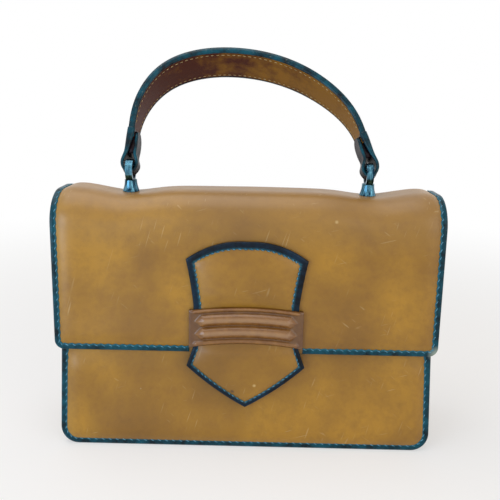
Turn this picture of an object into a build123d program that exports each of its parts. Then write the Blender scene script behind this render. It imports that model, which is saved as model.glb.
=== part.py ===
from build123d import *
from math import atan, cos, pi, radians, sin, sqrt, tan
import os

# Small structured leather flap handbag with a top handle, closed, standing on its base.
# X runs left to right, the front faces -Y, Z points up, millimetres.
# The origin is the middle of the base, on the ground.

# Body: two leaning walls joined by a folded gusset, seams turned outwards and bound
flap_width = 240.0
base_depth = 72.0
front_lean = 0.07
side_taper = 0.045
front_height = 133.0
hinge_rise = 7.0
corner_radius = 12.0
panel_thick = 2.2
gusset_thick = 1.4
binding_width = 4.5
binding_proud = 0.7
edge_cover = 0.9
seam_inset = 5.6
fold_start = 26.0
fold_depth = 13.0
fold_least = 0.2
lining_thick = 0.8
board_thick = 1.6

# Flap: leather and lining, formed over the top with a dip at each lug
flap_drop = 67.1
rise_share = 0.325
crest_crown = 1.0
lug_dip = 2.4
hinge_straight = 0.15
flap_leather = 1.8
flap_lining_thick = 0.7
rest_gap = 0.3
flap_corner = 5.2
flap_binding_width = 4.0
plate_thick = 1.2
plate_overhang = 19.0
plate_gap = 0.4

# Shield with its tab, held by a ribbed keeper band; rises and drops count from the front wall's top
shield_thick = 2.4
tab_binding_width = 3.6
apex_rise = 3.8
shoulder_half = 37.3
shoulder_drop = 7.5
waist_half = 32.6
waist_drop = 36.0
corner_half = 37.0
corner_drop = 75.5
tip_drop = 102.5
band_half_width = 35.3
band_drop = 36.4
band_depth = 23.6
band_radius = 215.0
band_base = 1.6
rib_height = 2.3
rib_half_length = 31.5
bead_height = 1.3

# Press stud under the tab
snap_drop = 86.0
stud_radius = 2.2
stud_engage = 0.9
socket_radius = 5.6

# Handle on two lugs, which stand a share of the flat top behind its middle
lug_inset = 44.0
lug_share = 0.1867
foot_radius = 5.4
neck_radius = 3.9
foot_height = 8.4
foot_sunk = 0.4
ring_outer = 7.2
ring_thick = 1.8
ring_width = 4.4
shank_radius = 1.7
washer_share = 0.31
handle_lean = 32.0
handle_apex = 80.2
handle_width = 30.0
handle_end_width = 12.0
strap_thick = 2.2
handle_lining_thick = 1.4
edge_width = 2.8
edge_proud = 0.45
loop_thick = 2.0
loop_half = 5.3
loop_length = 18.0
strap_foot = 8.0
loop_waist = 6.6

lean_angle = atan(front_lean)
hinge_height = front_height + hinge_rise
crest_ends = hinge_height + base_depth * rise_share
crest_middle = crest_ends + crest_crown
crest_dip = crest_ends - lug_dip
flap_bottom = front_height - flap_drop
flap_stand = binding_proud + rest_gap + flap_lining_thick + flap_leather
lining_crest = crest_dip - flap_leather - plate_thick - plate_gap
# The bend ends just above the hinge, on the flap's lining as on its leather
bend_ratio = tan((pi / 2 - lean_angle) / 2)
flap_radius = flap_leather + (lining_crest - hinge_height - hinge_straight) / bend_ratio
top_flat = base_depth + flap_stand - 2 * front_lean * crest_dip - 2 * flap_radius * bend_ratio
plate_y = -flap_stand / 2
shield_apex = front_height + apex_rise
shield_shoulder = (shoulder_half, front_height - shoulder_drop)
shield_waist = (waist_half, front_height - waist_drop)
tab_corner = (corner_half, front_height - corner_drop)
tab_tip = front_height - tip_drop
band_top = front_height - band_drop
band_bottom = band_top - band_depth
snap_height = front_height - snap_drop
seam_thick = panel_thick + gusset_thick
foot_seat = crest_dip - foot_sunk
ring_height = foot_seat + foot_height + ring_outer - ring_thick
lug_x = flap_width / 2 - lug_inset
lug_y = plate_y + lug_share * top_flat
washer_radius = washer_share * top_flat
board_bottom = seam_inset + gusset_thick
stud_height = flap_stand - 2.2 + stud_engage
band_face = flap_stand + shield_thick + binding_proud
arc_centre = (band_top + band_bottom) / 2 - band_radius

os.makedirs("parts", exist_ok=True)

# Middle line of the handle's arch: a tight left shoulder and a longer right slope
middle_line = Spline(
    (-lug_x, strap_foot), (-0.975 * lug_x, 0.5 * handle_apex),
    (-0.78 * lug_x, 0.83 * handle_apex), (-0.08 * lug_x, handle_apex),
    (0.6 * lug_x, 0.755 * handle_apex), (0.895 * lug_x, 0.435 * handle_apex), (lug_x, strap_foot),
    tangents=((0, 1), (0.22, -1)),
)


def front_plane(stand):
    """Plane on the leaning front wall, a distance outside the panel's face."""
    face = Plane(
        origin=(0, -base_depth / 2, 0),
        x_dir=(1, 0, 0),
        z_dir=(0, -cos(lean_angle), sin(lean_angle)),
    )
    return face.offset(stand)


def back_plane(stand):
    """Plane on the leaning back wall, a distance outside the panel's face."""
    face = Plane(
        origin=(0, base_depth / 2, 0),
        x_dir=(-1, 0, 0),
        z_dir=(0, cos(lean_angle), sin(lean_angle)),
    )
    return face.offset(stand)


def handle_plane(forward):
    """Plane the arched handle lies in, at its rest lean, with its origin between the rings."""
    tilt = radians(handle_lean)
    face = Plane(
        origin=(0, lug_y, ring_height),
        x_dir=(1, 0, 0),
        z_dir=(0, -cos(tilt), sin(tilt)),
    )
    return face.offset(forward)


def wall_half(height):
    """Half the width of the walls at a height above the base."""
    return flap_width / 2 - side_taper * height


def wall_outline(height, inset):
    """Tapering wall with rounded lower corners and a square top."""
    low = wall_half(inset) - inset
    top = wall_half(height) - inset
    with BuildSketch(Plane.XY) as outline:
        with BuildLine():
            FilletPolyline(
                (-top, height), (-low, inset), (low, inset), (top, height),
                radius=corner_radius - inset,
            )
            Line((top, height), (-top, height))
        make_face()
    return outline.sketch


def cavity_section(height, inset, wall, fold):
    """Six-sided level section of the inside, with a fold running in at each side."""
    side = wall_half(height) - inset
    front = base_depth / 2 - front_lean * height - wall
    with BuildSketch(Plane.XY.offset(height)) as section:
        with BuildLine():
            Polyline(
                (-side, -front), (side, -front), (side - fold, 0),
                (side, front), (-side, front), (-side + fold, 0), close=True,
            )
        make_face()
    return section.sketch


def flap_outline(station, crest_outer, crest_inner, outer, inner):
    """Section through the flap's bent leather between two depths, at one station along the bag."""
    with BuildSketch(Plane.YZ.offset(station)) as section:
        with BuildLine():
            lines = []
            for crest, depth in ((crest_outer, outer), (crest_inner, inner)):
                front = base_depth / 2 + flap_stand - depth
                back = base_depth / 2 - depth
                lines.append(
                    FilletPolyline(
                        (-front + front_lean * flap_bottom, flap_bottom),
                        (-front + front_lean * crest, crest),
                        (back - front_lean * crest, crest),
                        (back - front_lean * hinge_height, hinge_height),
                        radius=flap_radius - depth,
                    )
                )
            Line(lines[0] @ 0, lines[1] @ 0)
            Line(lines[0] @ 1, lines[1] @ 1)
        make_face()
    return section.sketch


def shield_outline(margin):
    """Waisted shield above and pointed tab below, set in from the edge by a margin."""
    with BuildSketch(Plane.XY) as outline:
        with BuildLine():
            for side in (-1, 1):
                shoulder = (side * shield_shoulder[0], shield_shoulder[1])
                waist = (side * shield_waist[0], shield_waist[1])
                low_waist = (side * shield_waist[0], band_bottom - 3.0)
                corner = (side * tab_corner[0], tab_corner[1])
                mid_top = (side * shield_shoulder[0] * 0.52, shield_apex - 2.2)
                mid_side = (
                    side * (shield_shoulder[0] * 0.42 + shield_waist[0] * 0.58),
                    (shield_shoulder[1] + shield_waist[1]) / 2,
                )
                mid_tab = (side * tab_corner[0] * 0.53, (tab_corner[1] + tab_tip) / 2 - 1.0)
                ThreePointArc((0, shield_apex), mid_top, shoulder)
                ThreePointArc(shoulder, mid_side, waist)
                Line(waist, low_waist)
                Line(low_waist, corner)
                ThreePointArc(corner, mid_tab, (0, tab_tip))
        make_face()
        if margin:
            offset(amount=-margin, kind=Kind.INTERSECTION)
    return outline.sketch


def rib_section(rise, centre, breadth, reach):
    """Arched strip with pointed ends, at a rise above the keeper band's face."""
    middle = centre - arc_centre
    shoulder = reach - breadth / 2
    tip = arc_centre + sqrt(middle**2 - reach**2)
    with BuildSketch(front_plane(band_face + band_base + rise)) as section:
        with BuildLine():
            for radius in (middle + breadth / 2, middle - breadth / 2):
                end = arc_centre + sqrt(radius**2 - shoulder**2)
                ThreePointArc((-shoulder, end), (0, arc_centre + radius), (shoulder, end))
                Line((shoulder, end), (reach, tip))
                Line((-shoulder, end), (-reach, tip))
        make_face()
    return section.sketch


def beside_arch(share, shift):
    """Point beside the arch's middle line, a shift outwards, at a share of its length."""
    place = middle_line @ share
    heading = middle_line % share
    return place.X - shift * heading.Y, place.Y + shift * heading.X


def parallel_arch(shift):
    """Arch running beside the middle line at a constant shift outwards."""
    points = [beside_arch(step / 12, shift) for step in range(13)]
    return Spline(*points, tangents=(middle_line % 0, middle_line % 1))


def ribbon(inner, outer):
    """Strap between two offsets from its middle line, drawn in the handle's plane."""
    with BuildSketch(handle_plane(0)) as section:
        with BuildLine():
            low = parallel_arch(inner)
            high = parallel_arch(outer)
            Line(low @ 0, high @ 0)
            Line(low @ 1, high @ 1)
        make_face()
    return section.sketch


def width_outline(inset):
    """Strap's width against its height above the rings, seen from the side."""
    half_low = handle_end_width / 2 - inset
    half_high = handle_width / 2 - inset
    side = Plane(
        origin=(0, lug_y, ring_height),
        x_dir=(0, -cos(radians(handle_lean)), sin(radians(handle_lean))),
        z_dir=(-1, 0, 0),
    )
    with BuildSketch(side) as outline:
        with BuildLine():
            right = Spline(
                (half_low, 0), (half_low + 0.42 * (half_high - half_low), 0.37 * handle_apex),
                (half_high - 1.0, 0.77 * handle_apex), (half_high, 1.12 * handle_apex),
            )
            left = Spline(
                (-half_low, 0), (-half_low - 0.42 * (half_high - half_low), 0.37 * handle_apex),
                (-half_high + 1.0, 0.77 * handle_apex), (-half_high, 1.12 * handle_apex),
            )
            Line(left @ 0, right @ 0)
            Line(left @ 1, right @ 1)
        make_face()
    return outline.sketch


front_inner = front_plane(-seam_thick)
back_inner = back_plane(-seam_thick)

# Press stud on the front wall
with BuildPart() as snap_stud:
    with BuildSketch(front_plane(0)):
        with Locations((0, snap_height)):
            Circle(socket_radius)
    extrude(amount=0.5)
    with BuildSketch(front_plane(0)):
        with Locations((0, snap_height)):
            Circle(stud_radius)
    extrude(amount=stud_height)
    fillet(snap_stud.faces().sort_by(Axis.Y)[0].edges(), radius=1.1)
    with BuildSketch(front_plane(0)):
        with Locations((0, snap_height)):
            Circle(stud_radius * 0.6)
    extrude(amount=-panel_thick)

# Front and back panels, leather over board
with BuildPart() as front_panel:
    with BuildSketch(front_plane(0)):
        add(wall_outline(front_height, edge_cover))
    extrude(amount=-panel_thick)
    split(bisect_by=Plane.XY, keep=Keep.TOP)
    add(snap_stud.part, mode=Mode.SUBTRACT)

with BuildPart() as back_panel:
    with BuildSketch(back_plane(0)):
        add(wall_outline(hinge_height - rest_gap, edge_cover))
    extrude(amount=-panel_thick)
    split(bisect_by=Plane.XY, keep=Keep.TOP)

# Folded gusset: a strip round the sides and base, with a flange turned out along each wall
with BuildPart() as gusset:
    with BuildSketch(Plane.XZ):
        add(wall_outline(fold_start, seam_inset))
        add(wall_outline(fold_start, seam_inset + gusset_thick), mode=Mode.SUBTRACT)
    extrude(amount=base_depth / 2, both=True)
    for side in (-1, 1):
        for height, fold in ((fold_start, fold_least), (front_height, fold_depth)):
            outer = side * (wall_half(height) - seam_inset)
            inner = outer - side * gusset_thick
            reach = base_depth / 2 - front_lean * height - seam_thick
            with BuildSketch(Plane.XY.offset(height)):
                with BuildLine():
                    Polyline(
                        (outer, -reach), (outer - side * fold, 0), (outer, reach),
                        (inner, reach), (inner - side * fold, 0), (inner, -reach), close=True,
                    )
                make_face()
        loft(ruled=True)
    split(bisect_by=front_inner, keep=Keep.BOTTOM)
    split(bisect_by=back_inner, keep=Keep.BOTTOM)
    for wall in (front_plane(-panel_thick), back_plane(-panel_thick)):
        with BuildSketch(wall):
            add(wall_outline(front_height, edge_cover))
            add(wall_outline(front_height, seam_inset + gusset_thick), mode=Mode.SUBTRACT)
        extrude(amount=-gusset_thick)
    split(bisect_by=Plane.XY, keep=Keep.TOP)

# Edge bindings that wrap the wall and gusset edges together
with BuildPart() as front_binding:
    with BuildSketch(front_plane(binding_proud)):
        add(wall_outline(front_height, 0))
        add(wall_outline(front_height, binding_width), mode=Mode.SUBTRACT)
    extrude(amount=-seam_thick - 2 * binding_proud)
    fillet(front_binding.faces().sort_by(Axis.Y)[0].edges(), radius=0.55)
    with BuildSketch(front_plane(0)):
        add(wall_outline(front_height, edge_cover))
    extrude(amount=-seam_thick, mode=Mode.SUBTRACT)
    split(bisect_by=Plane.XY, keep=Keep.TOP)

with BuildPart() as back_binding:
    with BuildSketch(back_plane(binding_proud)):
        add(wall_outline(hinge_height - rest_gap, 0))
        add(wall_outline(hinge_height - rest_gap, binding_width), mode=Mode.SUBTRACT)
    extrude(amount=-seam_thick - 2 * binding_proud)
    fillet(back_binding.faces().sort_by(Axis.Y)[-1].edges(), radius=0.55)
    with BuildSketch(back_plane(0)):
        add(wall_outline(hinge_height - rest_gap, edge_cover))
    extrude(amount=-seam_thick, mode=Mode.SUBTRACT)
    split(bisect_by=Plane.XY, keep=Keep.TOP)

# Stiff board under the lining
with BuildPart() as base_board:
    with BuildSketch(Plane.XY.offset(board_bottom)):
        board_inset = seam_inset + gusset_thick + 6.0
        RectangleRounded(2 * (wall_half(0) - board_inset), base_depth - 2 * seam_thick - 3.0, 4.0)
    extrude(amount=board_thick)

# Lining sewn into the mouth, following the folded sides
with BuildPart() as lining:
    for skin, mode in ((0.0, Mode.ADD), (lining_thick, Mode.SUBTRACT)):
        inset = seam_inset + gusset_thick + 0.1 + skin
        wall = seam_thick + skin
        low = board_bottom + board_thick + skin
        floor = cavity_section(low, inset + 4.0, wall, fold_least)
        corner = cavity_section(low + 4.0, inset, wall, fold_least)
        fold_root = cavity_section(fold_start, inset, wall, fold_least)
        mouth = cavity_section(front_height + skin, inset, wall, fold_depth)
        loft((floor, corner), ruled=True, mode=mode)
        loft((corner, fold_root), ruled=True, mode=mode)
        loft((fold_root, mouth), ruled=True, mode=mode)

# Washer inside the wall
with BuildPart() as snap_washer:
    with BuildSketch(front_plane(-panel_thick)):
        with Locations((0, snap_height)):
            Circle(socket_radius)
    extrude(amount=-0.8)

# Lugs: flared foot, flat ring above it, shank through the leather and plate
lugs = {}
for name, side in (("lug_left", -1), ("lug_right", 1)):
    with BuildPart() as lug:
        with BuildSketch(Plane.XZ.offset(-lug_y)):
            with BuildLine():
                base = Line((side * lug_x, foot_seat), (side * lug_x + foot_radius, foot_seat))
                lip = Line(base @ 1, (side * lug_x + foot_radius, foot_seat + 0.8))
                flare = ThreePointArc(
                    lip @ 1, (side * lug_x + neck_radius + 0.35, foot_seat + 0.5 * foot_height),
                    (side * lug_x + neck_radius, foot_seat + foot_height - 0.4),
                )
                top = Line(flare @ 1, (side * lug_x, foot_seat + foot_height - 0.4))
                Line(top @ 1, base @ 0)
            make_face()
        revolve(axis=Axis((side * lug_x, lug_y, 0), (0, 0, 1)))
        with BuildSketch(Plane.YZ.offset(side * lug_x)):
            with Locations((lug_y, ring_height)):
                Circle(ring_outer)
                Circle(ring_outer - ring_thick, mode=Mode.SUBTRACT)
        extrude(amount=ring_width / 2, both=True)
        with BuildSketch(Plane.XY.offset(foot_seat + 1.0)):
            with Locations((side * lug_x, lug_y)):
                Circle(shank_radius)
        extrude(amount=lining_crest - flap_lining_thick - foot_seat - 1.0)
    lugs[name] = lug.part

# Flap leather: sections across the bag, with the crest pulled down at the lugs
with BuildPart() as flap:
    for station, crest in (
        (-flap_width / 2 + 0.6, crest_ends), (-lug_x, crest_dip), (0, crest_middle),
        (lug_x, crest_dip), (flap_width / 2 - 0.6, crest_ends),
    ):
        add(flap_outline(station, crest, crest - flap_leather, 0, flap_leather))
    loft()
    with BuildSketch(front_plane(flap_stand + 5)):
        with BuildLine():
            FilletPolyline(
                (-flap_width / 2 + 0.6, 220), (-flap_width / 2 + 0.6, flap_bottom + 0.6),
                (flap_width / 2 - 0.6, flap_bottom + 0.6), (flap_width / 2 - 0.6, 220),
                radius=flap_corner,
            )
            Line((flap_width / 2 - 0.6, 220), (-flap_width / 2 + 0.6, 220))
        make_face()
    extrude(amount=-90, mode=Mode.INTERSECT)
    for lug in lugs.values():
        add(lug, mode=Mode.SUBTRACT)

with BuildPart() as flap_lining:
    lining_half = flap_width / 2 - flap_binding_width - 0.2
    for station in (-lining_half, lining_half):
        add(
            flap_outline(
                station, lining_crest, lining_crest - flap_lining_thick,
                flap_leather, flap_leather + flap_lining_thick,
            )
        )
    loft(ruled=True)
    with BuildSketch(front_plane(flap_stand)):
        with Locations((0, flap_bottom + flap_binding_width / 2 + 0.2)):
            Rectangle(flap_width, flap_binding_width + 0.4)
    extrude(amount=-flap_stand, mode=Mode.SUBTRACT)
    for lug in lugs.values():
        add(lug, mode=Mode.SUBTRACT)

# Stiffening plate the lugs are riveted to
with BuildPart() as stiffening_plate:
    with BuildSketch(Plane.XY.offset(lining_crest)):
        with Locations((0, plate_y)):
            RectangleRounded(2 * (lug_x + plate_overhang), top_flat, top_flat / 3)
            for side in (-1, 1):
                with Locations((side * lug_x, lug_y - plate_y)):
                    Circle(shank_radius, mode=Mode.SUBTRACT)
    extrude(amount=plate_thick)

# Flap bindings: each runs from the hinge over the side edge and along the lower edge to the tab
flap_bindings = {}
for name, side in (("flap_binding_left", -1), ("flap_binding_right", 1)):
    edge_x = side * flap_width / 2
    face_y = -base_depth / 2 - flap_stand
    with BuildPart() as binding:
        with BuildLine():
            drop = FilletPolyline(
                (edge_x, base_depth / 2 - front_lean * hinge_height, hinge_height),
                (edge_x, base_depth / 2 - front_lean * crest_ends, crest_ends),
                (edge_x, face_y + front_lean * crest_ends, crest_ends),
                (edge_x, face_y + front_lean * (flap_bottom + flap_corner), flap_bottom + flap_corner),
                radius=flap_radius,
            )
            bend = flap_corner * (1 - sin(radians(45)))
            turn = ThreePointArc(
                drop @ 1,
                (edge_x - side * bend, face_y + front_lean * (flap_bottom + bend), flap_bottom + bend),
                (edge_x - side * flap_corner, face_y + front_lean * flap_bottom, flap_bottom),
            )
            Line(turn @ 1, (side * (band_half_width + 0.1), turn.position_at(1).Y, flap_bottom))
        start = Plane(origin=drop @ 0, x_dir=(-side, 0, 0), z_dir=drop % 0)
        thick = flap_leather + 2 * binding_proud
        with BuildSketch(start):
            shift = side * (thick / 2 - binding_proud)
            with Locations((flap_binding_width / 2, shift)):
                RectangleRounded(flap_binding_width, thick, 0.6)
            with Locations((0.6 + flap_binding_width / 2, shift)):
                Rectangle(flap_binding_width, thick - 2 * binding_proud, mode=Mode.SUBTRACT)
        sweep()
        add(flap.part, mode=Mode.SUBTRACT)
    flap_bindings[name] = binding.part

# Shield and tab, one padded piece on the flap
with BuildPart() as shield:
    with BuildSketch(front_plane(flap_stand)):
        add(shield_outline(0.8))
    extrude(amount=shield_thick)
    fillet(shield.faces().sort_by(Axis.Y)[0].edges(), radius=1.0)

with BuildPart() as shield_binding:
    with BuildSketch(front_plane(flap_stand)):
        add(shield_outline(0))
    extrude(amount=shield_thick + binding_proud)
    with BuildSketch(front_plane(flap_stand)):
        add(shield_outline(tab_binding_width))
    extrude(amount=shield_thick + binding_proud, mode=Mode.SUBTRACT)
    add(shield.part, mode=Mode.SUBTRACT)

# Ribbed keeper band arched over the waist: base, beads along both edges, two mitred ribs
with BuildPart() as keeper_band:
    with BuildSketch(front_plane(band_face)):
        with BuildLine():
            ends = []
            for level in (band_top, band_bottom):
                radius = level - arc_centre
                end = arc_centre + sqrt(radius**2 - band_half_width**2)
                ThreePointArc((-band_half_width, end), (0, level), (band_half_width, end))
                ends.append(end)
            for edge in (-band_half_width, band_half_width):
                Line((edge, ends[0]), (edge, ends[1]))
        make_face()
    extrude(amount=band_base)
    chamfer(keeper_band.faces().sort_by(Axis.Y)[0].edges(), length=0.4)
    # Turned-down ends that are stitched to the flap beside the shield
    foot_width = band_half_width - shield_waist[0] - 0.4
    with BuildSketch(front_plane(flap_stand)):
        for side in (-1, 1):
            with Locations((side * (band_half_width - foot_width / 2), sum(ends) / 2)):
                Rectangle(foot_width, ends[0] - ends[1] - 1.0)
    extrude(amount=band_face - flap_stand)
    # Each raised form is an arched strip with pointed ends, rounded over in three steps
    for centre, breadth, height, reach in (
        (band_top - 1.5, 2.6, bead_height, band_half_width - 1.6),
        (band_top - 7.6, 7.4, rib_height, rib_half_length),
        (band_top - 15.8, 7.4, rib_height, rib_half_length),
        (band_bottom + 1.9, 2.8, bead_height, band_half_width - 3.0),
    ):
        steps = ((-0.1, 1.0), (0.55 * height, 0.8), (height, 0.3))
        loft([rib_section(rise, centre, breadth * share, reach) for rise, share in steps])

# Press stud socket behind the tab
with BuildPart() as snap_socket:
    with BuildSketch(front_plane(flap_stand)):
        with Locations((0, snap_height)):
            Circle(socket_radius)
    extrude(amount=-2.2)
    fillet(snap_socket.faces().sort_by(Axis.Y)[-1].edges(), radius=0.6)
    with BuildSketch(front_plane(flap_stand - 2.2)):
        with Locations((0, snap_height)):
            Circle(stud_radius + 1.1)
    extrude(amount=1.6, mode=Mode.SUBTRACT)

# Riveted washers under the stiffening plate
washers = {}
for name, side in (("lug_washer_left", -1), ("lug_washer_right", 1)):
    with BuildPart() as washer:
        with BuildSketch(Plane.XY.offset(lining_crest - flap_lining_thick)):
            with Locations((side * lug_x, lug_y)):
                Circle(washer_radius)
        extrude(amount=-1.2)
        fillet(washer.faces().sort_by(Axis.Z)[0].edges(), radius=0.7)
    washers[name] = washer.part

# Handle strap and its lining, cut to the width outline
half_stack = (strap_thick + handle_lining_thick) / 2
with BuildPart() as handle_strap:
    extrude(ribbon(half_stack - strap_thick, half_stack), amount=handle_width, both=True)
    extrude(width_outline(0.6), amount=2 * flap_width, both=True, mode=Mode.INTERSECT)

with BuildPart() as handle_lining:
    extrude(ribbon(-half_stack, half_stack - strap_thick), amount=handle_width, both=True)
    extrude(width_outline(0.6), amount=2 * flap_width, both=True, mode=Mode.INTERSECT)

# Bound edges of the handle
handle_bindings = {}
for name, side in (("handle_binding_front", 1), ("handle_binding_rear", -1)):
    with BuildPart() as edge:
        band = ribbon(-half_stack - edge_proud, half_stack + edge_proud)
        extrude(band, amount=handle_width, both=True)
        extrude(width_outline(0), amount=2 * flap_width, both=True, mode=Mode.INTERSECT)
        extrude(width_outline(edge_width), amount=2 * flap_width, both=True, mode=Mode.SUBTRACT)
        add(handle_strap.part, mode=Mode.SUBTRACT)
        add(handle_lining.part, mode=Mode.SUBTRACT)
        split(bisect_by=handle_plane(0), keep=Keep.TOP if side > 0 else Keep.BOTTOM)
    handle_bindings[name] = edge.part

# Leather loops folded through the rings, one leg on each face of the strap
side_view = Plane(
    origin=(0, lug_y, ring_height),
    x_dir=(0, -cos(radians(handle_lean)), sin(radians(handle_lean))),
    z_dir=(-1, 0, 0),
)
loops = {}
for name, side in (("loop_left", -1), ("loop_right", 1)):
    with BuildPart() as loop:
        leg = half_stack + edge_proud + loop_thick / 2 + 0.3
        shares = [reach / middle_line.length for reach in (loop_length, 12.0, 7.0, 3.0)]
        if side > 0:
            shares = [1 - share for share in shares]
        with BuildSketch(handle_plane(0)):
            with BuildLine():
                outer_leg = [beside_arch(share, leg) for share in shares]
                inner_leg = [beside_arch(share, -leg) for share in shares]
                centre = side * lug_x
                fold = (
                    (centre + side * loop_half, 3.0), (centre, -2.2), (centre - side * loop_half, 3.0)
                )
                Spline(*outer_leg, *fold, *reversed(inner_leg))
            trace(line_width=loop_thick)
        extrude(amount=handle_width, both=True)
        with BuildSketch(side_view):
            with BuildLine():
                Polyline(
                    (-loop_waist / 2, -5), (loop_waist / 2, -5), (loop_waist / 2, -0.8),
                    (handle_end_width / 2, 8), (handle_end_width / 2 + 1.5, loop_length + 4),
                    (0, loop_length + 10), (-handle_end_width / 2 - 1.5, loop_length + 4),
                    (-handle_end_width / 2, 8), (-loop_waist / 2, -0.8), close=True,
                )
            make_face()
        extrude(amount=2 * flap_width, both=True, mode=Mode.INTERSECT)
    loops[name] = loop.part

pieces = {
    "front_panel": front_panel.part,
    "back_panel": back_panel.part,
    "gusset": gusset.part,
    "front_binding": front_binding.part,
    "back_binding": back_binding.part,
    "base_board": base_board.part,
    "lining": lining.part,
    "snap_stud": snap_stud.part,
    "snap_washer": snap_washer.part,
    "flap": flap.part,
    "flap_lining": flap_lining.part,
    "stiffening_plate": stiffening_plate.part,
    "shield": shield.part,
    "shield_binding": shield_binding.part,
    "keeper_band": keeper_band.part,
    "snap_socket": snap_socket.part,
    "handle_strap": handle_strap.part,
    "handle_lining": handle_lining.part,
}
for group in (flap_bindings, lugs, washers, handle_bindings, loops):
    pieces.update(group)
for name, piece in pieces.items():
    piece.label = name
    export_step(piece, f"parts/{name}.step")
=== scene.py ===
from math import atan, cos, exp, hypot, pi, radians, sin, sqrt, tan

import bmesh
import bpy
import numpy as np
from mathutils import Matrix, Vector, noise
from mathutils.geometry import interpolate_bezier


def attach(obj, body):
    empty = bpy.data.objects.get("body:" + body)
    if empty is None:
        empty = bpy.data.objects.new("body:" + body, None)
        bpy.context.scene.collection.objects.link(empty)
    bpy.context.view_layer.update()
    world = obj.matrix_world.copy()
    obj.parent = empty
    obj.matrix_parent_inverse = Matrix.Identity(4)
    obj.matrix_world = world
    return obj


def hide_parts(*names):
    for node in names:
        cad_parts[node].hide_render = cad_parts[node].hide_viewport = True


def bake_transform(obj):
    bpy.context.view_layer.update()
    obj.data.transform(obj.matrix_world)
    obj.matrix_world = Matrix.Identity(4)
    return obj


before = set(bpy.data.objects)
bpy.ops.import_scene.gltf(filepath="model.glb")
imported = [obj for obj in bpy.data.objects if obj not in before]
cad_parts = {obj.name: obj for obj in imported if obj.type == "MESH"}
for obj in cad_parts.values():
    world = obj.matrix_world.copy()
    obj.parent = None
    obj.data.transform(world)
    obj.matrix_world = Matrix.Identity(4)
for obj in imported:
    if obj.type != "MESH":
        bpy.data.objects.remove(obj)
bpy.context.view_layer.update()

bl_info = {
    "name": "Leather Flap Handbag",
    "version": (1, 0, 0),
    "blender": (4, 5, 0),
    "location": "View3D > Sidebar > Handbag",
    "description": "Dresses the solids of a small leather handbag with modelled leather, bindings and stitching",
    "category": "Add Mesh",
}

MM = 0.001

# Body: two leaning walls, joined by a folded gusset
SLOPE = 0.07
LEAN = atan(SLOPE)
HALF_DEPTH = 36 * MM
FRONT_HEIGHT = 133 * MM
HINGE_HEIGHT = 140 * MM
PANEL_THICK = 2.2 * MM
GUSSET_THICK = 1.4 * MM
SEAM_THICK = PANEL_THICK + GUSSET_THICK
EDGE_COVER = 0.9 * MM
SEAM_INSET = 5.6 * MM
CORNER_RADIUS = 11.1 * MM
FOLD_START = 26 * MM
FOLD_DEPTH = 13 * MM
FLOOR_HEIGHT = 8.6 * MM
STUD_HEIGHT = 47 * MM
# Heights between which the back's binding changes from the walled seam below to the flap alone above
SEAM_END = 134 * MM
FLAP_START = 146 * MM

# Flap
FLAP_HALF = 119.4 * MM
FLAP_FOOT = 66.5 * MM
FLAP_CORNER = 5.2 * MM
FLAP_STAND = 3.5 * MM
FLAP_LEATHER = 1.8 * MM
FLAP_RADIUS = 20.514 * MM
CREST_ENDS = 163.4 * MM
CREST_MIDDLE = 164.4 * MM
CREST_SAG = 3.0 * MM
LINING_CREST = 157.6 * MM
LINING_HALF = 115.6 * MM
LINING_FOOT = 70.6 * MM

# Shield, tab and keeper band, in heights and half widths on the flap's face
SHOULDER = (37.3 * MM, 125.5 * MM)
APEX = 136.8 * MM
WAIST = (32.6 * MM, 97.0 * MM)
LOW_WAIST = (32.6 * MM, 70.0 * MM)
TAB_CORNER = (37.0 * MM, 57.5 * MM)
TAB_TIP = 30.5 * MM
BAND_HALF = 35.3 * MM
BAND_TOP = 96.6 * MM
BAND_BOTTOM = 73.0 * MM
BAND_SEAT = 3.1 * MM
BAND_CENTRE = (BAND_TOP + BAND_BOTTOM) / 2 - 215 * MM
# Points along each half of the top, the hollow side, the belt under the band, the flare and the tab's point
TOP_RUN, SIDE_RUN, BELT_RUN, FLARE_RUN, POINT_RUN = 52, 40, 24, 18, 60

# Handle, in its own leaning plane with its origin between the rings
LUG_X = 76 * MM
LUG_Y = 1.0 * MM
RING_HEIGHT = 174.4 * MM
HANDLE_LEAN = radians(32)
HANDLE_APEX = 80.2 * MM
STRAP_FOOT = 8 * MM
HALF_STACK = 1.8 * MM
STRAP_THICK = 2.2 * MM
LOOP_THICK = 2.0 * MM
LOOP_LENGTH = 18 * MM
STRAP_END = 12 * MM


def linear(code):
    """Linear colour of an sRGB hex value."""
    channels = [int(code[start:start + 2], 16) / 255 for start in (1, 3, 5)]
    return tuple(c / 12.92 if c <= 0.04045 else ((c + 0.055) / 1.055) ** 2.4 for c in channels)


def smooth(low, high, value):
    """Eased step from 0 at low to 1 at high."""
    share = min(max((value - low) / (high - low), 0.0), 1.0)
    return share * share * (3 - 2 * share)


def steps(start, end, count):
    """Evenly spaced values from start to end."""
    return [start + (end - start) * index / count for index in range(count + 1)]


# Outward normals of the leaning walls
FRONT_NORMAL = Vector((0, -cos(LEAN), sin(LEAN)))
BACK_NORMAL = Vector((0, cos(LEAN), sin(LEAN)))


# Places on the bag

def on_front(x, height, stand):
    """Point on the leaning front wall, a distance outside the panel's face."""
    return Vector((
        x,
        -HALF_DEPTH + height * sin(LEAN) - stand * cos(LEAN),
        height * cos(LEAN) + stand * sin(LEAN),
    ))


def wall_half(height):
    """Half the width of the walls at a height above the base."""
    return 120 * MM - 0.045 * height


def rounded_half(half, height, radius):
    """Half width near a rounded lower corner, at a height above the lower edge."""
    if height >= radius:
        return half
    return half - radius + sqrt(max(radius ** 2 - (radius - height) ** 2, 0.0))


def corner_rows(radius):
    """Heights of rows that follow a rounded corner evenly."""
    return [radius * (1 - cos(angle)) for angle in steps(0, pi / 2, 7)]


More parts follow.
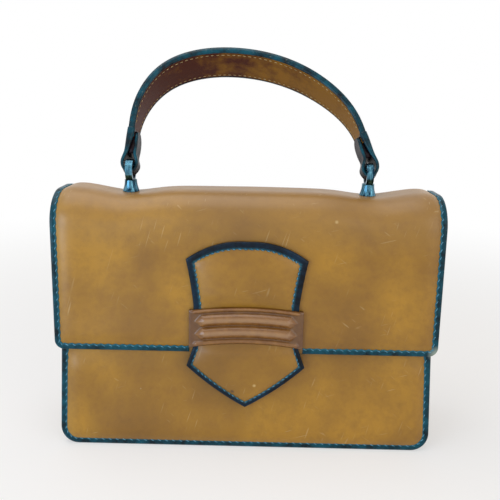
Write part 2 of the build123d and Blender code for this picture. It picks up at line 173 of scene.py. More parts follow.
def wall_corner():
    """Half widths and heights round a lower corner of a wall's leather, from its side to its base."""
    spots = []
    for angle in steps(pi / 2, 0, 12)[1:]:
        height = EDGE_COVER + CORNER_RADIUS * (1 - cos(angle))
        spots.append((wall_half(height) - EDGE_COVER - CORNER_RADIUS + CORNER_RADIUS * sin(angle), height))
    return spots


def mirrored(points):
    """Points in reverse order on the bag's other side."""
    return [Vector((-point.x, point.y, point.z)) for point in reversed(points)]


def crest_at(x):
    """Height of the leather over the top, pulled down round each lug."""
    crest = CREST_ENDS + (CREST_MIDDLE - CREST_ENDS) * (1 - (x / FLAP_HALF) ** 2)
    for lug in (-LUG_X, LUG_X):
        crest -= CREST_SAG * exp(-((x - lug) / (19 * MM)) ** 2)
    return crest


def course(travel, x, depth=0.0, crest=None):
    """Point and outward normal on the leather's way from the flap's lower edge, over the top and down the back.

    Travel counts five stretches: front, front bend, top, back bend and back.
    """
    crest = (crest_at(x) if crest is None else crest)
    radius = FLAP_RADIUS - depth
    tangent = radius * tan((pi / 2 - LEAN) / 2)
    front = -(HALF_DEPTH + FLAP_STAND - depth) + SLOPE * crest
    back = HALF_DEPTH - depth - SLOPE * crest
    stretch = min(int(travel), 4)
    share = travel - stretch
    bend_low = crest - tangent * cos(LEAN)
    if stretch == 0:
        height = FLAP_FOOT + (bend_low - FLAP_FOOT) * share
        place = (-(HALF_DEPTH + FLAP_STAND - depth) + SLOPE * height, height)
        turn = LEAN
    elif stretch == 1:
        turn = LEAN + (pi / 2 - LEAN) * share
        place = (front + tangent - radius * cos(turn), crest - radius + radius * sin(turn))
    elif stretch == 2:
        turn = pi / 2
        place = (front + tangent + (back - front - 2 * tangent) * share, crest)
    elif stretch == 3:
        turn = pi / 2 + (pi / 2 - LEAN) * share
        place = (back - tangent - radius * cos(turn), crest - radius + radius * sin(turn))
    else:
        height = bend_low + (EDGE_COVER - bend_low) * share
        place = (HALF_DEPTH - depth - SLOPE * height, height)
        turn = pi - LEAN
    return Vector((x, place[0], place[1])), Vector((0, -cos(turn), sin(turn)))


def skin_half(travel):
    """Half width of the leather along its course: the flap, then the narrower back wall."""
    height = course(travel, FLAP_HALF)[0].z
    if travel < 1:
        return rounded_half(FLAP_HALF, height - FLAP_FOOT, FLAP_CORNER)
    if travel < 4:
        return FLAP_HALF
    narrow = rounded_half(wall_half(height) - EDGE_COVER, height - EDGE_COVER, CORNER_RADIUS)
    return narrow + (FLAP_HALF - narrow) * smooth(124 * MM, 147 * MM, height)


def travel_at(height, back=False):
    """Travel on the front or back stretch where the side edge has a height."""
    bend_low = CREST_ENDS - FLAP_RADIUS * tan((pi / 2 - LEAN) / 2) * cos(LEAN)
    if back:
        return 4 + (bend_low - height) / (bend_low - EDGE_COVER)
    return (height - FLAP_FOOT) / (bend_low - FLAP_FOOT)


def edge_roll(inside, above):
    """Low roll where leather stands up beside its binding, by the distances from its side and its lower edge."""
    near = (max(inside, 0.1 * MM) ** -3 + max(above, 0.1 * MM) ** -3) ** (-1 / 3)
    clear = max(0.0, near - 3.4 * MM) / (7.5 * MM)
    return 1.8 * MM * clear * exp(1 - clear)


# Mesh helpers

def lay_grid(bm, across, along, place, mark=None, material=0):
    """Grid of quads whose crossings lie where place says, with mark as their UV."""
    made = bmesh.ops.create_grid(bm, x_segments=len(across) - 1, y_segments=len(along) - 1, size=0.5)
    verts = made["verts"]
    low = min(vert.co.x for vert in verts)
    span = max(vert.co.x for vert in verts) - low
    crossing = {}
    for vert in verts:
        column = round((vert.co.x - low) / span * (len(across) - 1))
        row = round((vert.co.y - low) / span * (len(along) - 1))
        crossing[vert] = (across[column], along[row])
        vert.co = place(*crossing[vert])
    layer = bm.loops.layers.uv.get("UVMap") or bm.loops.layers.uv.new("UVMap")
    for face in {face for vert in verts for face in vert.link_faces}:
        face.material_index = material
        face.smooth = True
        if mark:
            for loop in face.loops:
                loop[layer].uv = mark(*crossing[loop.vert])
    return verts


def close_rims(bm, bridge=False):
    """Closes open rims, by a wall between two of them or by a face over each."""
    rims = [edge for edge in bm.edges if edge.is_boundary]
    if bridge:
        bmesh.ops.bridge_loops(bm, edges=rims)
    else:
        bmesh.ops.holes_fill(bm, edges=rims, sides=0)


def finish_piece(name, bm, *materials):
    """Object at the origin made from a finished bmesh."""
    bmesh.ops.recalc_face_normals(bm, faces=bm.faces)
    mesh = bpy.data.meshes.new(name)
    bm.to_mesh(mesh)
    bm.free()
    for material in materials:
        mesh.materials.append(material)
    piece = bpy.data.objects.new(name, mesh)
    bpy.context.scene.collection.objects.link(piece)
    return piece


def sheet(name, across, along, place, thick, material, mark=None):
    """Closed sheet of leather: an outer face, an inner one and the cut edge between them."""
    bm = bmesh.new()
    for depth in (0.0, thick):
        lay_grid(bm, across, along, lambda a, b: place(a, b, depth), mark)
    close_rims(bm, bridge=True)
    return finish_piece(name, bm, material)


def even_stations(points, normals, step):
    """Even stations along an edge, each with its place, inward direction, normal and length so far."""
    lengths = [0.0]
    for first, second in zip(points, points[1:]):
        lengths.append(lengths[-1] + (second - first).length)
    count = round(lengths[-1] / step)
    marked = []
    index = 0
    for target in steps(0.0, lengths[-1], count):
        while index < len(points) - 2 and lengths[index + 1] < target:
            index += 1
        share = (target - lengths[index]) / (lengths[index + 1] - lengths[index])
        place = points[index].lerp(points[index + 1], share)
        marked.append((place, normals[index].lerp(normals[index + 1], share).normalized(), target))
    stations = []
    for number, (place, normal, target) in enumerate(marked):
        heading = marked[min(number + 1, count)][0] - marked[max(number - 1, 0)][0]
        stations.append((place, heading.cross(normal).normalized(), normal, target))
    return stations


def binding_section(width, proud, cover, depth, under=None, squareness=2.6):
    """Ring of a binding folded over an edge, as (inward, outward) steps: outer wrap first, then the inside."""
    under = width if under is None else under
    middle = 1.0 * MM
    reach = middle + cover
    half = depth / 2 + proud
    ring = [(width, 0.02 * MM), (width - 0.08 * MM, 0.5 * proud), (width - 0.5 * MM, 0.92 * proud)]
    for angle in steps(90, -90, 8):
        bend = abs(cos(radians(angle))) ** (2 / squareness)
        lift = abs(sin(radians(angle))) ** (2 / squareness)
        ring.append((middle - reach * bend, -depth / 2 + (half * lift if angle >= 0 else -half * lift)))
    ring += [
        (under - 0.5 * MM, -depth - 0.92 * proud), (under - 0.08 * MM, -depth - 0.5 * proud),
        (under, -depth - 0.02 * MM), (0.0, -depth - 0.02 * MM), (-0.04 * MM, -depth / 2), (0.0, 0.02 * MM),
    ]
    return ring + ring[:1]


def bind_edge(name, stations, section_at, scallop, pitch, material, ends=True):
    """Binding along an edge, drawn in by its stitches on both faces and kept above the ground."""
    rings = [section_at(station) for station in stations]

    def place(row, number):
        spot, inward, normal, length = stations[number]
        reach, lift = rings[number][row]
        width = rings[number][0][0]
        pull = 0.5 + 0.5 * cos(2 * pi * length / pitch)
        near = smooth(0.45 * width, width, reach)
        reach += scallop * (pull - 0.5) * near
        if row in (1, 2, 3):
            lift -= 0.35 * lift * pull * near
        return spot + inward * reach + normal * lift

    def mark(row, number):
        return stations[number][3], rings[number][row][0] / rings[number][0][0]

    bm = bmesh.new()
    verts = lay_grid(bm, range(len(rings[0])), range(len(stations)), place, mark)
    bmesh.ops.remove_doubles(bm, verts=verts, dist=1e-6)
    if ends:
        close_rims(bm)
    for vert in bm.verts:
        vert.co.z = max(vert.co.z, 0.0)
    return finish_piece(name, bm, material)


def sew(name, spots, length, thick, material):
    """Rows of stitches: a short bead of thread at each (place, heading, normal)."""
    bm = bmesh.new()
    for place, heading, normal in spots:
        side = normal.cross(heading).normalized()
        turn = Matrix((heading.normalized(), side, normal)).transposed().to_4x4()
        shape = Matrix.Diagonal((length / 2, thick / 2, thick / 2, 1.0))
        bmesh.ops.create_uvsphere(
            bm, u_segments=6, v_segments=4, radius=1.0, matrix=Matrix.Translation(place) @ turn @ shape,
        )
    for face in bm.faces:
        face.smooth = True
    return finish_piece(name, bm, material)


def seam_spots(stations, reach_at, lift, pitch, slant):
    """Stitch places along a bound edge, one where each scallop draws in and none in a mitred corner."""
    spots = []
    due = 0.5 * pitch
    for place, inward, normal, length in stations:
        if length < due:
            continue
        due += pitch
        if inward.length < 1.12:
            heading = normal.cross(inward).normalized() * cos(slant) + inward.normalized() * sin(slant)
            spots.append((place + inward * reach_at(place) + normal * lift, heading, normal))
    return spots


# Bound edges of the leather

def flap_and_back_edge(step):
    """Edge from the tab round the flap, over both sides and round the back wall."""
    points, normals = [], []

    def add(place, normal):
        points.append(place)
        normals.append(normal)

    foot = course(0, 0)[0]
    for x in steps(-35.5 * MM, -(FLAP_HALF - FLAP_CORNER), 60):
        add(Vector((x, foot.y, foot.z)), FRONT_NORMAL)
    for angle in steps(0, pi / 2, 8)[1:-1]:
        height = FLAP_FOOT + FLAP_CORNER * (1 - cos(angle))
        x = -(FLAP_HALF - FLAP_CORNER + FLAP_CORNER * sin(angle))
        add(course(travel_at(height), x, crest=CREST_ENDS)[0], FRONT_NORMAL)
    for travel in steps(travel_at(FLAP_FOOT + FLAP_CORNER), 1, 60) + steps(1, 4, 120)[1:]:
        place, normal = course(travel, -FLAP_HALF)
        add(place, normal)
    for travel in steps(4, travel_at(EDGE_COVER + CORNER_RADIUS, back=True), 90)[1:]:
        place, normal = course(travel, -skin_half(travel), crest=CREST_ENDS)
        add(place, normal)
    for half, height in wall_corner():
        add(course(travel_at(height, back=True), -half, crest=CREST_ENDS)[0], BACK_NORMAL)
    return even_stations(points + mirrored(points), normals + normals[::-1], step)


def front_wall_edge(step):
    """Edge of the front wall from its top right, round the base, to its top left."""
    heights = steps(FRONT_HEIGHT, EDGE_COVER + CORNER_RADIUS, 60)
    points = [on_front(wall_half(height) - EDGE_COVER, height, 0) for height in heights]
    points += [on_front(half, height, 0) for half, height in wall_corner()]
    points += mirrored(points)
    return even_stations(points, [FRONT_NORMAL] * len(points), step)


def stack_at(place):
    """Thickness of leather under the binding: the flap alone, or the back wall with the gusset's flange."""
    if place.y < 0:
        return FLAP_LEATHER
    return SEAM_THICK + (FLAP_LEATHER - SEAM_THICK) * smooth(SEAM_END, FLAP_START, place.z)


# Shield's outline

def bow(first, middle, last, count):
    """Shallow curve through three points."""
    control = [2 * m - (f + l) / 2 for f, m, l in zip(first, middle, last)]
    points = []
    for share in steps(0, 1, count):
        points.append(tuple(
            (1 - share) ** 2 * f + 2 * share * (1 - share) * c + share ** 2 * l
            for f, c, l in zip(first, control, last)
        ))
    return points


def shield_runs():
    """Outline of the shield and tab as runs of flat points, clockwise from the left shoulder."""
    top = bow((0, APEX), (0.52 * SHOULDER[0], APEX - 2.2 * MM), SHOULDER, TOP_RUN)
    hollow = (0.42 * SHOULDER[0] + 0.58 * WAIST[0], (SHOULDER[1] + WAIST[1]) / 2)
    side = bow(SHOULDER, hollow, WAIST, SIDE_RUN)
    belt = list(zip(steps(WAIST[0], LOW_WAIST[0], BELT_RUN), steps(WAIST[1], LOW_WAIST[1], BELT_RUN)))
    flare = list(zip(steps(LOW_WAIST[0], TAB_CORNER[0], FLARE_RUN), steps(LOW_WAIST[1], TAB_CORNER[1], FLARE_RUN)))
    belly = (0.53 * TAB_CORNER[0], (TAB_CORNER[1] + TAB_TIP) / 2 - 1.0 * MM)
    point = bow(TAB_CORNER, belly, (0, TAB_TIP), POINT_RUN)
    right = [top, side, belt, flare, point]
    left = [[(-x, height) for x, height in reversed(run)] for run in reversed(right)]
    return left[4:] + right + left[:4]


def shield_stations():
    """Stations round the shield: flat place, mitred inward direction and length so far."""
    runs = shield_runs()
    headings = []
    for run in runs:
        first = Vector(run[1]) - Vector(run[0])
        last = Vector(run[-1]) - Vector(run[-2])
        headings.append((first.normalized(), last.normalized()))
    stations = []
    length = 0.0
    for index, run in enumerate(runs):
        bends = []
        for ended, started in (
            (headings[index - 1][1], headings[index][0]),
            (headings[index][1], headings[(index + 1) % len(runs)][0]),
        ):
            bends.append(tan(ended.angle_signed(started) / 2) if ended.angle(started) > 1e-4 else 0.0)
        spans = [hypot(b[0] - a[0], b[1] - a[1]) for a, b in zip(run, run[1:])]
        total = sum(spans)
        fade = min(total / 2, 14 * MM)
        gone = 0.0
        for number, (x, height) in enumerate(run):
            ahead = Vector(run[min(number + 1, len(run) - 1)]) - Vector(run[max(number - 1, 0)])
            ahead.normalize()
            inward = Vector((ahead.y, -ahead.x))
            shift = bends[0] * max(0.0, 1 - gone / fade) - bends[1] * max(0.0, 1 - (total - gone) / fade)
            if number < len(run) - 1:
                stations.append((Vector((x, height)), inward + ahead * shift, length + gone))
                gone += spans[number]
        length += total
    stations.append((stations[0][0], stations[0][1], length))
    return stations


def shield_width(height):
    """Width of the shield's binding: broad above the band and narrow round the tab."""
    return 3.6 * MM + 1.6 * MM * smooth(BAND_BOTTOM, BAND_TOP, height)


# Handle's line

def arch_line():
    """Middle line of the handle as even points, smooth through its route."""
    route = np.array([
        (-LUG_X, STRAP_FOOT), (-0.975 * LUG_X, 0.5 * HANDLE_APEX), (-0.78 * LUG_X, 0.83 * HANDLE_APEX),
        (-0.08 * LUG_X, HANDLE_APEX), (0.6 * LUG_X, 0.755 * HANDLE_APEX), (0.895 * LUG_X, 0.435 * HANDLE_APEX),
        (LUG_X, STRAP_FOOT),
    ])
    return smooth_line(route, (0, 1), (0.22, -1))


def smooth_line(route, start, end, count=480):
    """Even points on the smooth line through a route that leaves and arrives in given directions."""
    gaps = np.linalg.norm(np.diff(route, axis=0), axis=1)
    size = len(route)
    system = np.eye(size)
    wanted = np.zeros((size, 2))
    wanted[0] = np.array(start) / np.linalg.norm(start)
    wanted[-1] = np.array(end) / np.linalg.norm(end)
    for knot in range(1, size - 1):
        before, after = gaps[knot - 1], gaps[knot]
        system[knot, knot - 1:knot + 2] = (1 / before, 2 / before + 2 / after, 1 / after)
        rise = (route[knot] - route[knot - 1]) / before ** 2 + (route[knot + 1] - route[knot]) / after ** 2
        wanted[knot] = 3 * rise
    slopes = np.linalg.solve(system, wanted)
    points = []
    for knot, gap in enumerate(gaps):
        first, last = Vector((*route[knot], 0)), Vector((*route[knot + 1], 0))
        leave = first + Vector((*slopes[knot], 0)) * gap / 3
        arrive = last - Vector((*slopes[knot + 1], 0)) * gap / 3
        points += interpolate_bezier(first, leave, arrive, last, 60)[:-1]
    points.append(Vector((*route[-1], 0)))
    lengths = np.concatenate(([0], np.cumsum([(b - a).length for a, b in zip(points, points[1:])])))
    even = np.linspace(0, lengths[-1], count + 1)
    return np.column_stack((
        np.interp(even, lengths, [point.x for point in points]),
        np.interp(even, lengths, [point.y for point in points]),
    ))


ARCH = arch_line()
ARCH_LENGTH = float(np.sum(np.linalg.norm(np.diff(ARCH, axis=0), axis=1)))


def line_at(line, share, shift=0.0):
    """Point beside a line, a shift to its left, at a share of its length."""
    spot = share * (len(line) - 1)
    index = min(max(int(spot), 0), len(line) - 2)
    place = line[index] + (line[index + 1] - line[index]) * (spot - index)
    ahead = line[min(index + 2, len(line) - 1)] - line[max(index - 1, 0)]
    ahead = ahead / np.linalg.norm(ahead)
    return place[0] - shift * ahead[1], place[1] + shift * ahead[0]


def in_handle(x, rise, forward):
    """Point in the leaning plane of the handle, a distance in front of it."""
    return Vector((
        x,
        LUG_Y + rise * sin(HANDLE_LEAN) - forward * cos(HANDLE_LEAN),
        RING_HEIGHT + rise * cos(HANDLE_LEAN) + forward * sin(HANDLE_LEAN),
    ))


WIDTH_FIT = np.polyfit([0, 0.37 * HANDLE_APEX, 0.77 * HANDLE_APEX, 1.12 * HANDLE_APEX],
                       [6 * MM, 9.78 * MM, 14 * MM, 15 * MM], 3)


def handle_half(rise):
    """Half width of the handle at a height above the rings."""
    return float(np.polyval(WIDTH_FIT, max(rise, 0.0)))


def strap_point(share, across, shift):
    """Point on the strap: a share along it, across from -1 at the rear edge to 1 at the front, and a shift out."""
    x, rise = line_at(ARCH, share, shift)
    return in_handle(x, rise, across * (handle_half(rise) - 0.6 * MM))


def strap_edge(side, step):
    """Front or rear edge of the strap's outer face."""
    points, normals = [], []
    for share in steps(STRAP_END / ARCH_LENGTH, 1 - STRAP_END / ARCH_LENGTH, 240):
        points.append(strap_point(share, side, HALF_STACK))
        normals.append((strap_point(share, side, HALF_STACK + MM) - points[-1]).normalized())
    if side > 0:
        points.reverse()
        normals.reverse()
    return even_stations(points, normals, step)


# Materials

def add_node(tree, kind, inputs=None, result=0, **settings):
    """Adds a node with its settings and links, and gives one of its outputs."""
    node = tree.nodes.new("ShaderNode" + kind)
    for name, value in settings.items():
        setattr(node, name, value)
    for socket, source in (inputs or {}).items():
        target = node.inputs[socket]
        if isinstance(source, bpy.types.NodeSocket):
            tree.links.new(source, target)
        elif target.type == "RGBA":
            target.default_value = (*source, 1.0)
        else:
            target.default_value = source
    return node.outputs[result] if len(node.outputs) else None


# Marks of use on the leather: place, reach and colour
MARKS = (
    ((-0.0668, -0.0333, 0.0392), 1.1 * MM, "#e6dcc4"),
    ((-0.0081, -0.0406, 0.0417), 1.7 * MM, "#3a2410"),
    ((0.0057, -0.0402, 0.0467), 1.5 * MM, "#d8bd80"),
    ((-0.0558, -0.0284, 0.1589), 1.5 * MM, "#c9b184"),
    ((0.0534, -0.0290, 0.1496), 1.5 * MM, "#c8ab74"),
    ((0.0819, -0.0288, 0.1526), 1.4 * MM, "#cdb27c"),
)
# Hairline scratches by the way they lie: turn, stretch and the noise level above which they show
SCRATCHES = ((0.3, 16.0, 0.775), (-0.9, 9.0, 0.79), (1.3, 12.0, 0.79))
WORN_CORNER = (0.1195, -0.0348, 0.0673)


def waxed_calfskin(tree, place, deep, light, stain, top_highlight, scuff):
    """Waxed calfskin, glazed: mottled mustard tan with fine pores, hairline scratches, a soft gloss and a painted
    highlight along the top.
    """
    # The hide's tone drifts over a hand's breadth, with browner mottling a few millimetres across
    cloud = add_node(tree, "TexNoise", {"Vector": place, "Scale": 1 / (55 * MM), "Detail": 4.0})
    share = add_node(tree, "MapRange", {"Value": cloud, "From Min": 0.36, "From Max": 0.64})
    colour = add_node(tree, "Mix", {0: share, 6: deep, 7: light}, 2, data_type="RGBA")
    mottle = add_node(tree, "TexNoise", {"Vector": place, "Scale": 1 / (7 * MM), "Detail": 5.0, "Roughness": 0.62})
    share = add_node(tree, "MapRange", {"Value": mottle, "From Min": 0.42, "From Max": 0.75, "To Max": 0.42})
    colour = add_node(tree, "Mix", {0: share, 6: colour, 7: stain}, 2, data_type="RGBA")
    # Painted highlight: the calfskin is drawn paler along the top, where light from above falls on the bend
    height = add_node(tree, "SeparateXYZ", {"Vector": place}, "Z")
    share = add_node(tree, "MapRange", {"Value": height, "From Min": 0.128, "From Max": 0.165, "To Max": 0.5})
    colour = add_node(tree, "Mix", {0: share, 6: colour, 7: top_highlight}, 2, data_type="RGBA")
    # Scratches under a millimetre wide come in groups
    groups = add_node(tree, "TexNoise", {"Vector": place, "Scale": 1 / (26 * MM), "Detail": 1.0})
    groups = add_node(tree, "MapRange", {"Value": groups, "From Min": 0.44, "From Max": 0.6, "To Max": 0.24})
    for turn, stretch, low in SCRATCHES:
        turned = add_node(tree, "Mapping", {
            "Vector": place, "Rotation": (0.0, turn, 0.0), "Scale": (1.0, 4.0, stretch),
        }, vector_type="TEXTURE")
        line = add_node(tree, "TexNoise", {"Vector": turned, "Scale": 1 / (1.0 * MM), "Detail": 0.0})
        line = add_node(tree, "MapRange", {"Value": line, "From Min": low, "From Max": low + 0.07})
        line = add_node(tree, "Math", {0: line, 1: groups}, operation="MULTIPLY")
        colour = add_node(tree, "Mix", {0: line, 6: colour, 7: scuff}, 2, data_type="RGBA")
    for spot, reach, tone in MARKS:
        away = add_node(tree, "VectorMath", {0: place, 1: spot}, "Value", operation="DISTANCE")
        share = add_node(tree, "MapRange", {
            "Value": away, "From Min": reach, "From Max": 0.45 * reach, "To Max": 0.8,
        })
        colour = add_node(tree, "Mix", {0: share, 6: colour, 7: linear(tone)}, 2, data_type="RGBA")
    # Pores are drawn at 1.1 mm, coarser than real ones, so that they show
    pores = add_node(tree, "TexNoise", {"Vector": place, "Scale": 1 / (1.1 * MM), "Detail": 4.0, "Roughness": 0.7})
    share = add_node(tree, "MapRange", {"Value": pores, "From Min": 0.58, "From Max": 0.75, "To Max": 0.2})
    colour = add_node(tree, "Mix", {0: share, 6: colour, 7: stain}, 2, data_type="RGBA")
    gloss = add_node(tree, "MapRange", {"Value": mottle, "To Min": 0.34, "To Max": 0.5})
    swell = add_node(tree, "TexNoise", {"Vector": place, "Scale": 1 / (15 * MM), "Detail": 2.0})
    waves = add_node(tree, "Bump", {"Strength": 0.3, "Distance": 0.6 * MM, "Height": swell})
    grain = add_node(tree, "Bump", {"Strength": 0.22, "Distance": 0.12 * MM, "Height": pores, "Normal": waves})
    return {
        "Base Color": colour, "Roughness": gloss, "Normal": grain, "Specular IOR Level": 0.46,
        "Coat Weight": 0.22, "Coat Roughness": 0.24,
    }


def burnished_strap_leather(tree, place, deep, light, groove_shade, wear_and_highlight):
    """Vegetable-tanned leather, burnished: redder and glossier, with a painted highlight along the crowns of the
    ribs and painted shade in the low ground between them.
    """
    mottle = add_node(tree, "TexNoise", {"Vector": place, "Scale": 1 / (5 * MM), "Detail": 4.0, "Roughness": 0.6})
    share = add_node(tree, "MapRange", {"Value": mottle, "From Min": 0.34, "From Max": 0.68})
    colour = add_node(tree, "Mix", {0: share, 6: deep, 7: light}, 2, data_type="RGBA")
    relief = add_node(tree, "UVMap", uv_map="UVMap")
    relief = add_node(tree, "SeparateXYZ", {"Vector": relief}, "Y")
    # Painted shade: darker colour in the low ground between and beside the ribs
    share = add_node(tree, "MapRange", {"Value": relief, "From Min": 0.32, "From Max": 0.04, "To Max": 0.55})
    colour = add_node(tree, "Mix", {0: share, 6: colour, 7: groove_shade}, 2, data_type="RGBA")
    # Painted highlight: paler colour along the crowns of the ribs
    share = add_node(tree, "MapRange", {"Value": relief, "From Min": 0.8, "From Max": 1.0, "To Max": 0.55})
    colour = add_node(tree, "Mix", {0: share, 6: colour, 7: wear_and_highlight}, 2, data_type="RGBA")
    pores = add_node(tree, "TexNoise", {"Vector": place, "Scale": 1 / (0.9 * MM), "Detail": 4.0, "Roughness": 0.7})
    grain = add_node(tree, "Bump", {"Strength": 0.25, "Distance": 0.12 * MM, "Height": pores})
    return {
        "Base Color": colour, "Roughness": 0.27, "Normal": grain, "Specular IOR Level": 0.5,
        "Coat Weight": 0.3, "Coat Roughness": 0.14,
    }


def dyed_edge_binding(tree, place, deep, light, bright, wear_and_highlight):
    """Kid strip, dyed and lacquered: near-black blue, with a painted highlight of bright teal along its seam, and
    rubbed through at its edge.
    """
    across = add_node(tree, "UVMap", uv_map="UVMap")
    across = add_node(tree, "SeparateXYZ", {"Vector": across}, "Y")
    patch = add_node(tree, "TexNoise", {"Vector": place, "Scale": 1 / (9 * MM), "Detail": 4.0, "Roughness": 0.65})
    share = add_node(tree, "MapRange", {"Value": patch, "From Min": 0.36, "From Max": 0.64})
    colour = add_node(tree, "Mix", {0: share, 6: deep, 7: light}, 2, data_type="RGBA")
    # Painted highlight: bright teal along the seam, where the strip puffs up between the stitches
    share = add_node(tree, "MapRange", {"Value": across, "From Min": 0.6, "From Max": 0.95, "To Max": 0.9})
    colour = add_node(tree, "Mix", {0: share, 6: colour, 7: bright}, 2, data_type="RGBA")
    # Rubbing shows only on the outermost edge, in short runs
    rubs = add_node(tree, "TexNoise", {"Vector": place, "Scale": 1 / (2.6 * MM), "Detail": 4.0, "Roughness": 0.7})
    rubs = add_node(tree, "MapRange", {"Value": rubs, "From Min": 0.6, "From Max": 0.74, "To Max": 0.4})
    edge = add_node(tree, "MapRange", {"Value": across, "From Min": 0.0, "From Max": -0.2})
    rubs = add_node(tree, "Math", {0: rubs, 1: edge}, operation="MULTIPLY")
    # The flap's lower right corner is worn through
    away = add_node(tree, "VectorMath", {0: place, 1: WORN_CORNER}, "Value", operation="DISTANCE")
    corner = add_node(tree, "MapRange", {"Value": away, "From Min": 6.5 * MM, "From Max": 2 * MM, "To Max": 0.75})
    rubs = add_node(tree, "Math", {0: rubs, 1: corner}, operation="MAXIMUM")
    colour = add_node(tree, "Mix", {0: rubs, 6: colour, 7: wear_and_highlight}, 2, data_type="RGBA")
    pores = add_node(tree, "TexNoise", {"Vector": place, "Scale": 1 / (0.8 * MM), "Detail": 4.0, "Roughness": 0.7})
    grain = add_node(tree, "Bump", {"Strength": 0.3, "Distance": 0.14 * MM, "Height": pores})
    return {
        "Base Color": colour, "Roughness": 0.3, "Normal": grain, "Specular IOR Level": 0.14,
        "Coat Weight": 0.08, "Coat Roughness": 0.12,
    }


def brushed_split_leather(tree, place, deep, light, rough, painted_side_light):
    """Split leather, brushed: matt with short soft fibres and slow changes of tone, and painted light and shade
    that make it paler towards +x at the given rate.
    """
    tone = add_node(tree, "TexNoise", {"Vector": place, "Scale": 1 / (12 * MM), "Detail": 4.0, "Roughness": 0.6})
    tone = add_node(tree, "MapRange", {"Value": tone, "From Min": 0.34, "From Max": 0.68})
    # Painted light and shade: the tone rises with x, darker to the left and paler to the right
    across = add_node(tree, "SeparateXYZ", {"Vector": place}, "X")
    tone = add_node(tree, "Math", {0: across, 1: painted_side_light, 2: tone}, operation="MULTIPLY_ADD", use_clamp=True)
    colour = add_node(tree, "Mix", {0: tone, 6: deep, 7: light}, 2, data_type="RGBA")
    fibres = add_node(tree, "TexNoise", {"Vector": place, "Scale": 1 / (0.8 * MM), "Detail": 5.0, "Roughness": 0.8})
    share = add_node(tree, "MapRange", {"Value": fibres, "From Min": 0.5, "From Max": 0.75, "To Max": 0.3})
    colour = add_node(tree, "Mix", {0: share, 6: colour, 7: light}, 2, data_type="RGBA")
    nap = add_node(tree, "Bump", {"Strength": 0.4, "Distance": 0.2 * MM, "Height": fibres})
    return {"Base Color": colour, "Roughness": rough, "Normal": nap, "Specular IOR Level": 0.12}


def waxed_linen_thread(tree, place, deep, light):
    """Linen thread, waxed and twisted: a fine uneven twist with a dull shine."""
    twist = add_node(tree, "TexNoise", {"Vector": place, "Scale": 1 / (0.6 * MM), "Detail": 3.0, "Roughness": 0.6})
    share = add_node(tree, "MapRange", {"Value": twist, "From Min": 0.35, "From Max": 0.65})
    colour = add_node(tree, "Mix", {0: share, 6: deep, 7: light}, 2, data_type="RGBA")
    strands = add_node(tree, "Bump", {"Strength": 0.5, "Distance": 0.1 * MM, "Height": twist})
    return {"Base Color": colour, "Roughness": 0.42, "Normal": strands}


def cast_metal(tree, place, deep, light, rough, size, draw):
    """Metal, cast and polished: bright, with tarnished patches and fine rubbing marks; on the lugs the blue colours
    and the patches, drawn out upwards into streaks, are painted reflection.
    """
    # Painted reflection: on the lugs the patches are drawn out upwards into streaks of reflected light
    drawn = add_node(tree, "Mapping", {"Vector": place, "Scale": (1.0, 1.0, draw)}, vector_type="TEXTURE")
    tarnish_and_reflection = add_node(tree, "TexNoise", {"Vector": drawn, "Scale": 1 / size, "Detail": 4.0, "Roughness": 0.65})
    share = add_node(tree, "MapRange", {"Value": tarnish_and_reflection, "From Min": 0.38, "From Max": 0.62})
    colour = add_node(tree, "Mix", {0: share, 6: light, 7: deep}, 2, data_type="RGBA")
    gloss = add_node(tree, "MapRange", {"Value": tarnish_and_reflection, "To Min": rough, "To Max": rough + 0.2})
    marks = add_node(tree, "TexNoise", {"Vector": place, "Scale": 1 / (0.8 * MM), "Detail": 3.0})
    marks = add_node(tree, "Bump", {"Strength": 0.15, "Distance": 0.08 * MM, "Height": marks})
    return {"Base Color": colour, "Roughness": gloss, "Normal": marks, "Metallic": 1.0}


def pressed_fibre_board(tree, place, deep, light):
    """Fibre board, pressed: grey-brown with short fibres lying every way."""
    fibres = add_node(tree, "TexNoise", {"Vector": place, "Scale": 1 / (1.5 * MM), "Detail": 6.0, "Roughness": 0.8})
    colour = add_node(tree, "Mix", {0: fibres, 6: deep, 7: light}, 2, data_type="RGBA")
    relief = add_node(tree, "Bump", {"Strength": 0.3, "Distance": 0.2 * MM, "Height": fibres})
    return {"Base Color": colour, "Roughness": 0.85, "Normal": relief}


# Each finish with its maker, and the colours and numbers that the maker takes
FINISHES = {
    "waxed_calfskin": (waxed_calfskin, "tan_deep", "tan_light", "tan_stain", "tan_faded", "tan_scuff"),
    "burnished_strap_leather": (burnished_strap_leather, "band_deep", "band_light", "band_groove", "band_worn"),
    "dyed_edge_binding": (dyed_edge_binding, "binding_deep", "binding_mid", "binding_bright", "binding_worn"),
    "dyed_shield_binding": (dyed_edge_binding, "shield_deep", "shield_light", "binding_bright", "binding_worn"),
    "dyed_handle_edge": (dyed_edge_binding, "shield_deep", "binding_mid", "binding_bright", "binding_worn"),
    "brushed_split_lining": (brushed_split_leather, "suede_deep", "suede_light", 0.85, 0.0),
    # The handle's lining gets painted shade on its left arm and painted light on its right
    "handle_lining_split": (brushed_split_leather, "brown_deep", "brown_light", 0.5, 14.0),
    # The loops' leather is drawn near-black as painted shade
    "loop_split": (brushed_split_leather, "loop_deep", "loop_light", 0.38, 0.0),
    "waxed_linen_thread": (waxed_linen_thread, "thread_deep", "thread_light"),
    "buff_linen_thread": (waxed_linen_thread, "buff_deep", "buff_light"),
    # The lugs' blue colours and upright streaks are painted reflection
    "blued_plate": (cast_metal, "lug_deep", "lug_light", 0.14, 1.6 * MM, 9.0),
    "pressed_brass": (cast_metal, "brass_deep", "brass_light", 0.26, 4 * MM, 1.0),
    "tinned_steel": (cast_metal, "steel_deep", "steel_light", 0.3, 9 * MM, 1.0),
    "pressed_fibre_board": (pressed_fibre_board, "board_deep", "board_light"),
}


